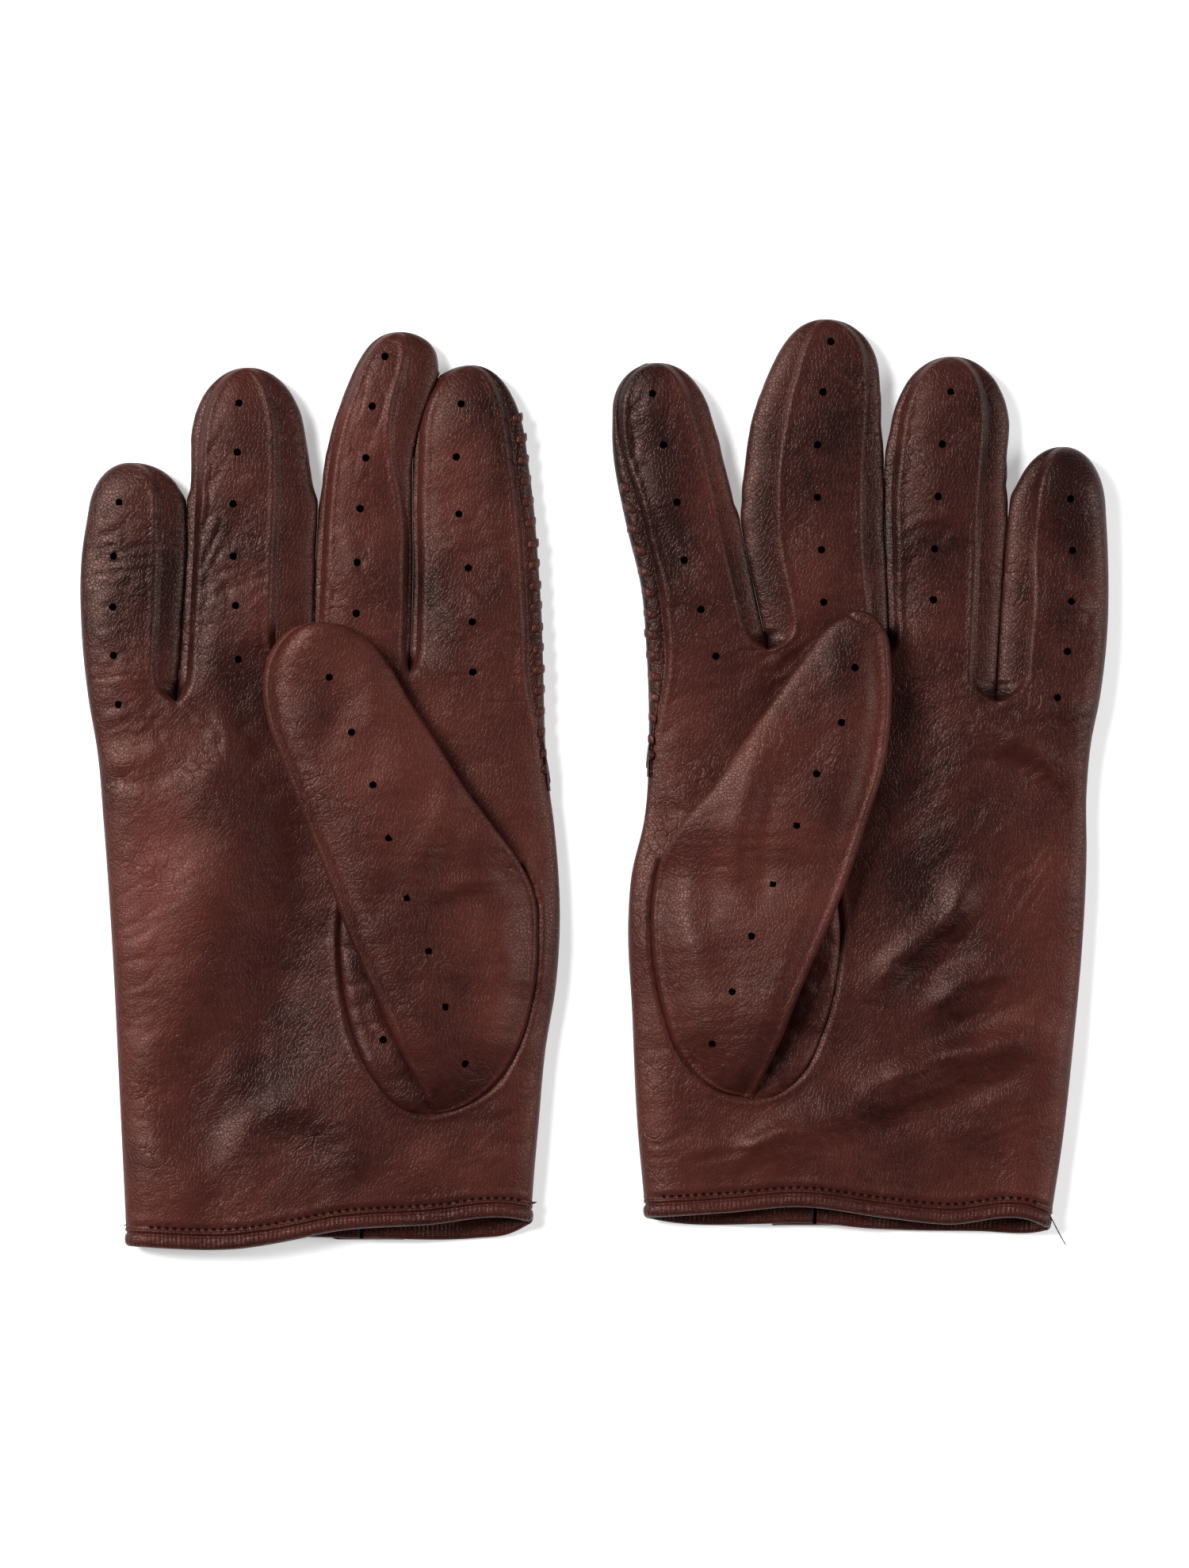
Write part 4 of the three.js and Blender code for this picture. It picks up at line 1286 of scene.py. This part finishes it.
def thumb_skin(glove):
    """Upper and lower skin of the thumb: rows run from the fold to the outer line, one over the other.

    The outer line starts in the palm's groove along the oval seam and climbs to the thumb's own side fold.
    Across, the upper skin is a power curve over the straight line between its two edges, with a roll along
    the fold and a lip along the seam."""
    left_over = 0.03 * (1 - np.sin(np.linspace(0, np.pi / 2, 14)[1:]))
    share = np.concatenate([np.linspace(0, 0.97, THUMB_ROWS), 1 - left_over])
    inner = path_at(glove["thumb_fold"], share)
    outer = path_at(glove["thumb_side_line"], share)
    t = (1 - np.cos(np.linspace(0, np.pi, THUMB_COLUMNS))) / 2
    u = mix(np.linspace(0, 1, THUMB_COLUMNS), t, 0.75)[None, :]
    plan = mix(inner[:, None, :], outer[:, None, :], u[..., None])
    v = share[:, None]
    wide = np.linalg.norm(outer - inner, axis=1)[:, None]
    swell = round_edge(wide, 22)
    seam = palm_level(glove, outer[:, :1], outer[:, 1:]) - SEAM_SINK
    start = palm_level(glove, inner[:1, :1], inner[:1, 1:]) - SEAM_SINK
    inner_level = mix(start, FOLD_LEVEL, ease(v / 0.22))
    outer_level = mix(seam, THUMB_MIDDLE, ease((v - 0.42) / 0.14))
    base = mix(inner_level, outer_level, u)
    bow = (1 - np.abs(2 * u - 1) ** 2.6) ** (1 / 2.6)
    root = 1 - ease((v - 0.38) / 0.2)
    near_outer, near_inner = (1 - u) * wide, u * wide
    gentle = 1 - (1 - np.clip((near_outer + 0.6) / 15, 0, 1)) ** 2
    shape = mix(bow, np.minimum(bow, gentle), root)
    upper = base + swell * shape * mix(THUMB_RISE, ROOT_RISE, root)
    lip = root * 0.5 * np.exp(-(((near_outer - 1.0) / 0.6) ** 2))
    roll = 0.55 * np.exp(-(((near_inner - 1.2) / 0.9) ** 2))
    roll = roll - 0.5 * np.exp(-(((near_inner - 4) / 2) ** 2))
    calm = np.clip(bow, 0, 1) ** 0.5 * swell
    x, y = plan[..., 0], plan[..., 1]
    seed = 210 if glove["name"] == "right" else 240
    bumps = 0.6 * noise(x, y, 17, seed) + 0.3 * noise(x, y, 7, seed + 1) + wrinkles(x, y, seed)
    bumps = bumps + folds_at(x, y, glove["thumb_folds"])
    upper = upper + (lip + roll) * swell + bumps * calm
    lower = base - swell * bow * mix(2.2, 0.5, root)
    # Tone of the thumb: dye together with painted highlight and painted shade
    tone = tone_at({"wear_and_painted_light": glove["thumb_wear_and_painted_light"]}, x, y)
    top = np.stack([x, y, upper, tone], axis=-1)
    under = np.stack([x, y, lower, tone], axis=-1)
    return top, under


print("the thumb's skin has", THUMB_ROWS + 13, "by", THUMB_COLUMNS, "points")

# %% [markdown]
# Under the fold a piece of the thumb stays with the hand. The thumb's crease runs askew across the palm, so
# the stretch it bends over is measured square to the crease.

# %% Gusset and crease of the thumb


def pleat(glove):
    """The part of the thumb piece that stays with the hand: from the oval seam in under the fold."""
    share = np.linspace(0, 1, 90)
    seam = path_at(glove["oval_left"], share)
    ridge = path_at(glove["thumb_fold"], np.linspace(0, 0.45, 90))
    inside = ridge + np.array([9.0 * glove["thumb_side"], 2.0]) * ease(share / 0.25)[:, None]
    u = np.linspace(0, 1, 40)[None, :] ** 1.2
    plan = mix(seam[:, None, :], inside[:, None, :], u[..., None])
    x, y = plan[..., 0], plan[..., 1]
    wide = np.linalg.norm(inside - seam, axis=1)[:, None]
    away = u * wide
    level = palm_level(glove, seam[:, :1], seam[:, 1:]) - SEAM_SINK
    rise = 1.5 * round_edge(away, 3) * np.clip(wide / 8, 0, 1)
    crease = 0.35 * noise(x + y, (y - x) * 0.3, 3.5, 300) + wrinkles(x, y, 305) * 1.5
    z = level + rise - 1.6 * ease((away - 6) / 9) + crease * round_edge(away, 3) * np.clip(wide / 8, 0, 1)
    # Painted shade: the pleat darkens towards the fold over it
    return np.stack([x, y, z, tone_at(glove, x, y) - 0.5 * ease(away / 9)], axis=-1)


def hinge_of(glove):
    """The two bodies and the stretch across the thumb's crease over which it bends."""
    low, high = (np.array([*p, THUMB_MIDDLE]) for p in glove["hinge"])
    along = (high - low) / np.linalg.norm(high - low)
    across = np.cross(along, (0, 0, 1)) * glove["thumb_side"]
    middle = (low + high) / 2
    at = lambda d: tuple(glove["origin"] + (middle + across * d) * MM)
    return f"{glove['name']}_hand", f"{glove['name']}_thumb", at(8), at(-8)


print("creases of the thumbs:", RIGHT["hinge"], "and", LEFT["hinge"])

# %% [markdown]
# The upper and lower skin of a thumb meet along their edges to within a tenth of a millimetre, and both are
# baked in place.

# %% Make the thumbs
for glove in GLOVES:
    side = glove["name"]
    top, under = thumb_skin(glove)
    gone = np.zeros(np.array(top.shape[:2]) - 1, bool)
    for hole in glove["thumb_holes"]:
        gone |= punch(top, hole, HOLE, SPARE)
    upper = mesh_from(f"{side}_thumb_upper_skin", glove, [top], (0, 0, 1), [gone])
    lower = mesh_from(f"{side}_thumb_under_skin", glove, [under], (0, 0, -1))
    for piece, node in ((upper, "thumb_upper"), (lower, "thumb_under")):
        thicken(piece)
        finish(piece, FACE_LEATHER, "glove_leather", joint=hinge_of(glove), stands_for=[f"{side}_{node}"])
    fold = pleat(glove)
    gone = np.zeros(np.array(fold.shape[:2]) - 1, bool)
    if glove["recess_hole"]:
        gone |= punch(fold, glove["recess_hole"], HOLE, SPARE)
    sew(
        f"{side}_thumb_gusset_skin",
        glove,
        [fold],
        (0, 0, 1),
        FACE_LEATHER,
        "glove_leather",
        [gone],
        body=f"{side}_hand",
        stands_for=[f"{side}_thumb_gusset"],
    )
    print(side, "thumb made")

# %% [markdown]
# ## Hem
# The cuff is turned in and stitched round, with a doubled, rolled edge. Its section is one closed line that
# is carried round the cuff, from one lip of the vent to the other. Fine puckers run across it.

# %% Round the cuff


def cuff_frame(glove, heights, places, gap):
    """Points, normals and directions round the cuff: rows at heights above its edge, columns by arc length.

    Goes from the slit's one lip round to the other. places are shares of the way round."""
    rows = []
    for back, order in ((False, (0, 1, 2, 3)), (True, (3, 2, 1, 0))):
        for i in order:
            grid = lane(glove, i, np.asarray(heights, float), columns(i), back)[..., :3]
            rows.append((grid[:, ::-1] if back else grid)[:, 1:])
    loop = np.concatenate(rows, axis=1)
    mid = loop[len(heights) // 2]
    lengths = np.concatenate([[0], np.cumsum(np.hypot(*np.diff(mid[:, ::2], axis=0).T))])
    total = lengths[-1] + np.hypot(*(mid[0] - mid[-1])[::2])
    rear = len(mid) // 2
    lip = lengths[rear + np.argmin(np.abs(mid[rear:, 0] - glove["thumb_side"] * VENT_X))]
    at = lip + gap + np.asarray(places) * (total - 2 * gap)

    def along_loop(lengths_at):
        """Points of every row at these lengths round the loop."""
        lines = loop.transpose(0, 2, 1).reshape(-1, len(mid))
        found = np.stack([np.interp(lengths_at, lengths, line, period=total) for line in lines])
        return found.reshape(len(loop), 3, -1).transpose(0, 2, 1)

    points = along_loop(at)
    ahead = along_loop(at + 0.3) - along_loop(at - 0.3)
    ahead[..., 1] *= 0.5
    ahead /= np.linalg.norm(ahead, axis=-1, keepdims=True)
    normal = np.stack([-ahead[..., 2], 0 * ahead[..., 0], ahead[..., 0]], axis=-1)
    normal /= np.linalg.norm(normal, axis=-1, keepdims=True)
    return points, normal, ahead, total


print("round the right cuff:", round(float(cuff_frame(RIGHT, [1.0, 2.0, 3.0], [0.5], 0.5)[3]), 1), "mm")

# %% [markdown]
# The hem's section is given as height above the cuff's edge, and height over the skin. Two ridges with a
# groove between them show that the edge is turned in twice.

# %% Hem band
HEM = [
    (5.0, -0.6), (4.65, -0.36), (4.4, -0.02), (4.1, 0.2), (3.7, 0.14), (3.4, -0.16), (3.1, -0.26),
    (2.85, -0.02), (2.4, 0.26), (1.8, 0.4), (1.1, 0.44), (0.45, 0.32), (0.05, 0.05), (-0.25, -0.4),
    (-0.25, -0.9), (0.2, -1.3), (1.6, -1.45), (3.4, -1.4), (5.2, -1.3), (5.5, -0.95), (5.0, -0.6)
]
HEM_ROWS, HEM_COLUMNS = 52, 820
PUCKER, PUCKER_PITCH = 0.06, 1.1


def hem_band(glove):
    """The hem's closed section carried round the cuff, closed by a fan at both ends."""
    profile = path_at(HEM, np.linspace(0, 1, HEM_ROWS))
    profile[-1] = profile[0]
    share = np.linspace(0, 1, HEM_COLUMNS)
    points, normal, _, total = cuff_frame(glove, profile[:, 0], share, 0.5)
    along = share[None, :] * total
    pucker = PUCKER * np.sin(along * 2 * np.pi / PUCKER_PITCH + 2 * noise(along, 0 * along, 4, 80))
    uneven = 0.12 * noise(along, profile[:, :1] * 2, 7, 81)
    visible = ease((4.7 - profile[:, :1]) / 1.5)
    height = profile[:, 1:] + (pucker + uneven) * visible
    band = points + normal * height[..., None]
    band[..., 2] = np.maximum(band[..., 2], 0.05)
    ends = [np.broadcast_to(band[:-1, k].mean(axis=0), (len(band), 3))[:, None] for k in (0, -1)]
    return np.concatenate([ends[0], band, ends[1]], axis=1)


print("the hem's section has", len(HEM), "points")

# %% [markdown]
# Stitches are small ovals sunk into the groove, one for each length of thread that shows. A loose end of
# thread is a tapered tube.

# %% Stitches and thread


def beads(points, along, normal, size):
    """Small closed ovals at points: size is half their length, width and height."""
    across = np.cross(along, normal)
    polar = np.linspace(0, np.pi, 6)[:, None, None]
    round_ = np.linspace(0, 2 * np.pi, 9)[None, :, None]
    shapes = []
    for p, a, b, n in zip(points, along, across, normal):
        shapes.append(
            p
            + a * size[0] * np.cos(polar)
            + b * size[1] * np.sin(polar) * np.cos(round_)
            + n * size[2] * np.sin(polar) * np.sin(round_)
        )
    return shapes


def tube(points, radii, sides=8):
    """A tube along points, with ends drawn to a point."""
    points, radii = np.asarray(points, float), np.asarray(radii, float)
    along = np.gradient(points, axis=0)
    along /= np.linalg.norm(along, axis=1)[:, None]
    one = np.cross(along, (0.2, 0.1, 1))
    one /= np.linalg.norm(one, axis=1)[:, None]
    two = np.cross(along, one)
    a = np.linspace(0, 2 * np.pi, sides + 1)[None, :, None]
    return points[:, None] + radii[:, None, None] * (np.cos(a) * one[:, None] + np.sin(a) * two[:, None])


STITCHES = 106  # round one cuff
THREAD_END = [(50.9, 4.6, 5.2), (51.8, 2.9, 5.0), (53.0, 0.6, 4.4), (54.1, -1.4, 3.6), (55.3, -3.4, 2.6)]
THREAD_RADIUS = 0.14
print(STITCHES, "stitches round each cuff")

# %% [markdown]
# Only stitches that lie flat are made: at the folded sides they would stand out from the glove. The left
# cuff has the loose end of its thread at the corner.

# %% Make the hems
for glove in GLOVES:
    side = glove["name"]
    band = hem_band(glove)
    piece = mesh_from(f"{side}_cuff_hem", glove, [band], (0, 0, 0))
    finish(piece, EDGE_LEATHER, "bound_edge", body=f"{side}_hand", stands_for=[f"{side}_cuff_binding"])
    heights = STITCH_LINE + np.array([-0.1, 0, 0.1])
    places = (np.arange(STITCHES) + 0.5) / STITCHES
    points, normal, ahead, _ = cuff_frame(glove, heights, places, 1.0)
    flat = (np.abs(normal[1, :, 2]) > 0.94) & (np.abs(points[1, :, 0]) < 49)
    shapes = beads((points[1] + normal[1] * 0.1)[flat], ahead[1, flat], normal[1, flat], (0.6, 0.42, 0.2))
    if side == "left":
        end = path_at(np.array(THREAD_END), np.linspace(0, 1, 24))
        shapes.append(tube(end, np.r_[0, np.full(22, THREAD_RADIUS), 0]))
    piece = mesh_from(f"{side}_hem_stitching", glove, shapes, (0, 0, 0))
    finish(piece, THREAD, "bound_edge", body=f"{side}_hand")
    print(side, "hem made")

# %% [markdown]
# ## Lace
# The outer side of the index finger is laced over and over with a narrow leather thong. What shows is a
# row of short bars round the edge, and the knot it starts from.

# %% Lace bars
LACE_START, LACE_PITCH = 124, 5.3
LACE_WIDTH, LACE_HEIGHT = 1.2, 0.55  # half of each


def lace_bars(glove):
    """Bars over the side strip: a flattened round section, carried a short way round the finger."""
    i = 3 if glove["thumb_side"] == 1 else 0
    heights = np.arange(LACE_START, glove["lace_top"], LACE_PITCH)
    shapes = []
    for n, y in enumerate(heights):
        row = strip(glove, i, i == 3, np.array([y, y + 0.01]), 41)[0]
        path = row[6:38]
        out = path - row.mean(axis=0)
        out[:, 1] = 0
        out /= np.linalg.norm(out, axis=1)[:, None]
        t = np.linspace(0, 1, len(path))[:, None]
        fade = np.sqrt(np.clip(1 - (2 * t - 1) ** 4, 0, 1))
        a = np.linspace(0, 2 * np.pi, 11)[None, :]
        width = np.sign(np.cos(a)) * np.abs(np.cos(a)) ** 0.7 * LACE_WIDTH * fade
        height = np.sign(np.sin(a)) * np.abs(np.sin(a)) ** 0.7 * LACE_HEIGHT * fade
        bar = (path - out * 0.35 * (1 - fade))[:, None, :] + out[:, None, :] * (height + 0.12)[..., None]
        bar[..., 1] += width + 1.1 * t * (1 if n % 2 else 0.8)
        shapes.append(bar)
    y = LACE_START - 3.5
    row = strip(glove, i, i == 3, np.array([y, y + 0.01]), 41)[0]
    outwards = np.array([(glove["thumb_side"], 0, 0.2)])
    shapes += beads(row[None, 20], np.array([(0, 1.0, 0)]), outwards, (1.3, 1.1, 1.0))
    return shapes


for glove in GLOVES:
    i = 3 if glove["thumb_side"] == 1 else 0
    piece = mesh_from(f"{glove['name']}_index_lace", glove, lace_bars(glove), (0, 0, 0))
    finish(piece, EDGE_LEATHER, "side_leather", joint=bend_of(glove, i))
    print(glove["name"], "lace made")

# %% [markdown]
# ## Vent and press stud
# The slit in the back of the wrist is covered by a flap, which a press stud holds. They lie underneath.

# %% Vent flap


def vent_flap(glove):
    """A tongue with two rounded corners. Towards its root it rises to meet the back that it is sewn to."""
    side = glove["thumb_side"]
    low, high, corner = 1.6, VENT_TOP, 3.5
    y = np.concatenate([low + corner * (1 - np.cos(np.linspace(0, np.pi / 2, 9))),
                        np.linspace(low + corner, high - corner, 60)[1:-1],
                        high - corner * (1 - np.sin(np.linspace(0, np.pi / 2, 9)))])
    end = np.minimum(y - low, high - y)
    inset = corner * (1 - round_edge(end, corner))
    free, root = -1.0 + inset, 19.0
    u = (1 - np.cos(np.linspace(0, np.pi, 44))) / 2
    x = mix(free[:, None], root, u[None, :])
    edge = np.minimum(np.minimum(x + 1.0 - inset[:, None], end[:, None]), 3)
    z = 1.35 - 0.12 * round_edge(edge, 1.2) + 0.2 * np.exp(-(((edge - 2.4) / 0.35) ** 2)) * (edge < 3)
    z = z + 0.75 * ease((x - 15.5) / 3.5) + 0.1 * noise(x, y[:, None], 9, 400)
    grid = np.stack([side * x, y[:, None] + 0 * x, z, tone_at(glove, side * x, y[:, None] + 0 * x)], axis=-1)
    return grid


print("the flap is", round(float(np.ptp(vent_flap(RIGHT)[..., 0])), 1), "mm wide")

# %% [markdown]
# Cap and stud are turned pieces, each a section of radius and height. Their metal is lacquered brass.

# %% Turned pieces and brass
SNAP_AT = (3.5, 11.8)  # from the glove's middle and the cuff's edge
CAP = [
    (0, 0), (2.2, 0.02), (4.2, 0.12), (4.9, 0.28), (5.3, 0.5), (5.5, 0.78), (5.35, 1.0), (4.8, 1.05),
    (2.4, 1.05), (2.2, 1.6), (0, 1.6)
]
STUD = [
    (0, 1.7), (1.9, 1.7), (2.1, 1.9), (2.1, 3.2), (2.2, 3.45), (3.4, 3.45), (3.5, 3.65), (3.3, 3.9),
    (1.6, 4.0), (0, 4.0)
]


def lathe(profile, centre, sides=48):
    """A round piece: a section of radius and height, turned about an upright axis."""
    profile = np.asarray(profile, float)
    a = np.linspace(0, 2 * np.pi, sides + 1)[None, :]
    r, z = profile[:, :1], profile[:, 1:]
    return np.stack([centre[0] + r * np.cos(a), centre[1] + r * np.sin(a), z + 0 * a], axis=-1)


def metal(name, code, roughness):
    """Lacquered metal, with faint turning marks as bump and slow changes of gloss."""
    material = bpy.data.materials.new(name)
    material.use_nodes = True
    tree = material.node_tree
    tree.nodes.clear()
    place = add(tree, "ShaderNodeTexCoord").outputs["Object"]
    marks = add(tree, "ShaderNodeTexNoise", {"Vector": place}, in_Scale=1 / (0.5 * MM), in_Detail=3.0)
    slow = add(tree, "ShaderNodeTexNoise", {"Vector": place}, in_Scale=1 / (3 * MM), in_Detail=2.0)
    height = {"Height": marks.outputs["Fac"]}
    bump = add(tree, "ShaderNodeBump", height, in_Strength=0.12, in_Distance=0.05 * MM)
    gloss = add(
        tree,
        "ShaderNodeMapRange",
        {"Value": slow.outputs["Fac"]},
        in_To_Min=roughness - 0.08,
        in_To_Max=roughness + 0.1,
    )
    shade = add(tree, "ShaderNodeMix", {"Factor": marks.outputs["Fac"]}, data_type="RGBA")
    shade.inputs["A"].default_value = linear(code)
    shade.inputs["B"].default_value = [c * 0.75 for c in linear(code)[:3]] + [1]
    surface = add(
        tree,
        "ShaderNodeBsdfPrincipled",
        {"Base Color": shade.outputs["Result"], "Roughness": gloss.outputs[0], "Normal": bump.outputs[0]},
        in_Metallic=1.0,
    )
    add(tree, "ShaderNodeOutputMaterial", {"Surface": surface.outputs[0]})
    return material


BRASS = metal("lacquered_brass_antique", "#7a5a3e", 0.32)
print("the cap is", 2 * max(r for r, z in CAP), "mm wide")

# %% [markdown]
# The flap opens with its cap. The stud stays with the hand and is pulled out of the cap, as on a real glove.

# %% Make the vents
FLAP_LEATHER = 0.75
for glove in GLOVES:
    side = glove["name"]
    place = (glove["thumb_side"] * SNAP_AT[0], SNAP_AT[1])
    grid = vent_flap(glove)
    gone = punch(grid, place, (2.5, 2.5), 0.3)
    piece = thicken(mesh_from(f"{side}_vent_flap_skin", glove, [grid], (0, 0, -1), [gone]), FLAP_LEATHER)
    finish(piece, FACE_LEATHER, "glove_leather", body=f"{side}_vent", stands_for=[f"{side}_vent_flap"])
    for name, profile, body in (("snap_cap", CAP, "vent"), ("snap_stud", STUD, "hand")):
        middle = np.array([place[0], place[1], np.mean([p[1] for p in profile])])
        piece = mesh_from(f"{side}_{name}_metal", glove, [lathe(profile, place)], lambda c: c - middle)
        finish(piece, BRASS, "snap_brass", body=f"{side}_{body}", stands_for=[f"{side}_{name}"])
    marks = np.arange(5.5, 41, STITCH_PITCH)
    x = glove["thumb_side"] * np.full(len(marks), 1.1)
    points = np.stack([x, marks, np.full(len(marks), 1.28)], axis=-1)
    one = np.tile([0.0, 1.0, 0.0], (len(marks), 1))
    down = np.tile([0.0, 0.0, -1.0], (len(marks), 1))
    piece = mesh_from(f"{side}_flap_stitching", glove, beads(points, one, down, (0.72, 0.3, 0.25)), (0, 0, 0))
    finish(piece, THREAD, "glove_leather", body=f"{side}_vent")
    print(side, "vent made")

# %% [markdown]
# ## Floor, light and camera
# A pale floor under soft light from above, and a camera that looks straight down. The floor glows a little,
# so that it stays white and the gloves' shadows stay weak.

# %% Stage
FRAME_HEIGHT = 395.6 * MM  # what the camera sees, from top to bottom
DISTANCE = 2.0
SENSOR = 36
FLOOR_REACH = 3.0


def stage():
    """A wide pale floor, two large soft lamps, and the camera."""
    scene = bpy.context.scene
    floor_mesh = bpy.data.meshes.new("floor")
    corners = [(FLOOR_REACH * a, FLOOR_REACH * b, 0) for a, b in ((-1, -1), (1, -1), (1, 1), (-1, 1))]
    floor_mesh.from_pydata(corners, [], [(0, 1, 2, 3)])
    floor = bpy.data.objects.new("floor", floor_mesh)
    scene.collection.objects.link(floor)
    paper = bpy.data.materials.new("white_paper")
    paper.use_nodes = True
    surface = paper.node_tree.nodes["Principled BSDF"].inputs
    surface["Base Color"].default_value = (0.9, 0.9, 0.9, 1)
    surface["Roughness"].default_value = 0.9
    surface["Emission Color"].default_value = (1, 1, 1, 1)
    surface["Emission Strength"].default_value = 0.38
    floor_mesh.materials.append(paper)
    world = bpy.data.worlds.new("studio")
    world.use_nodes = True
    world.node_tree.nodes["Background"].inputs["Color"].default_value = (1, 1, 1, 1)
    world.node_tree.nodes["Background"].inputs["Strength"].default_value = 0.07
    scene.world = world
    for name, place, size, power in (
        ("soft_left", (-0.88, 0.42, 1.0), 0.6, 30),
        ("soft_right", (1.25, 0.05, 0.75), 0.7, 14),
    ):
        lamp = bpy.data.lights.new(name, "AREA")
        lamp.size = size
        lamp.energy = power
        lamp_object = bpy.data.objects.new(name, lamp)
        lamp_object.location = place
        lamp_object.rotation_euler = (-Vector(place)).to_track_quat("-Z", "Y").to_euler()
        scene.collection.objects.link(lamp_object)
    camera = bpy.data.cameras.new("camera")
    camera.sensor_width = SENSOR
    camera.lens = SENSOR * DISTANCE / FRAME_HEIGHT
    eye = bpy.data.objects.new("camera", camera)
    eye.location = (0, -0.0003, DISTANCE + 0.006)
    scene.collection.objects.link(eye)
    scene.camera = eye
    scene.view_settings.view_transform = "Standard"


stage()
print("camera", DISTANCE, "m above the floor")
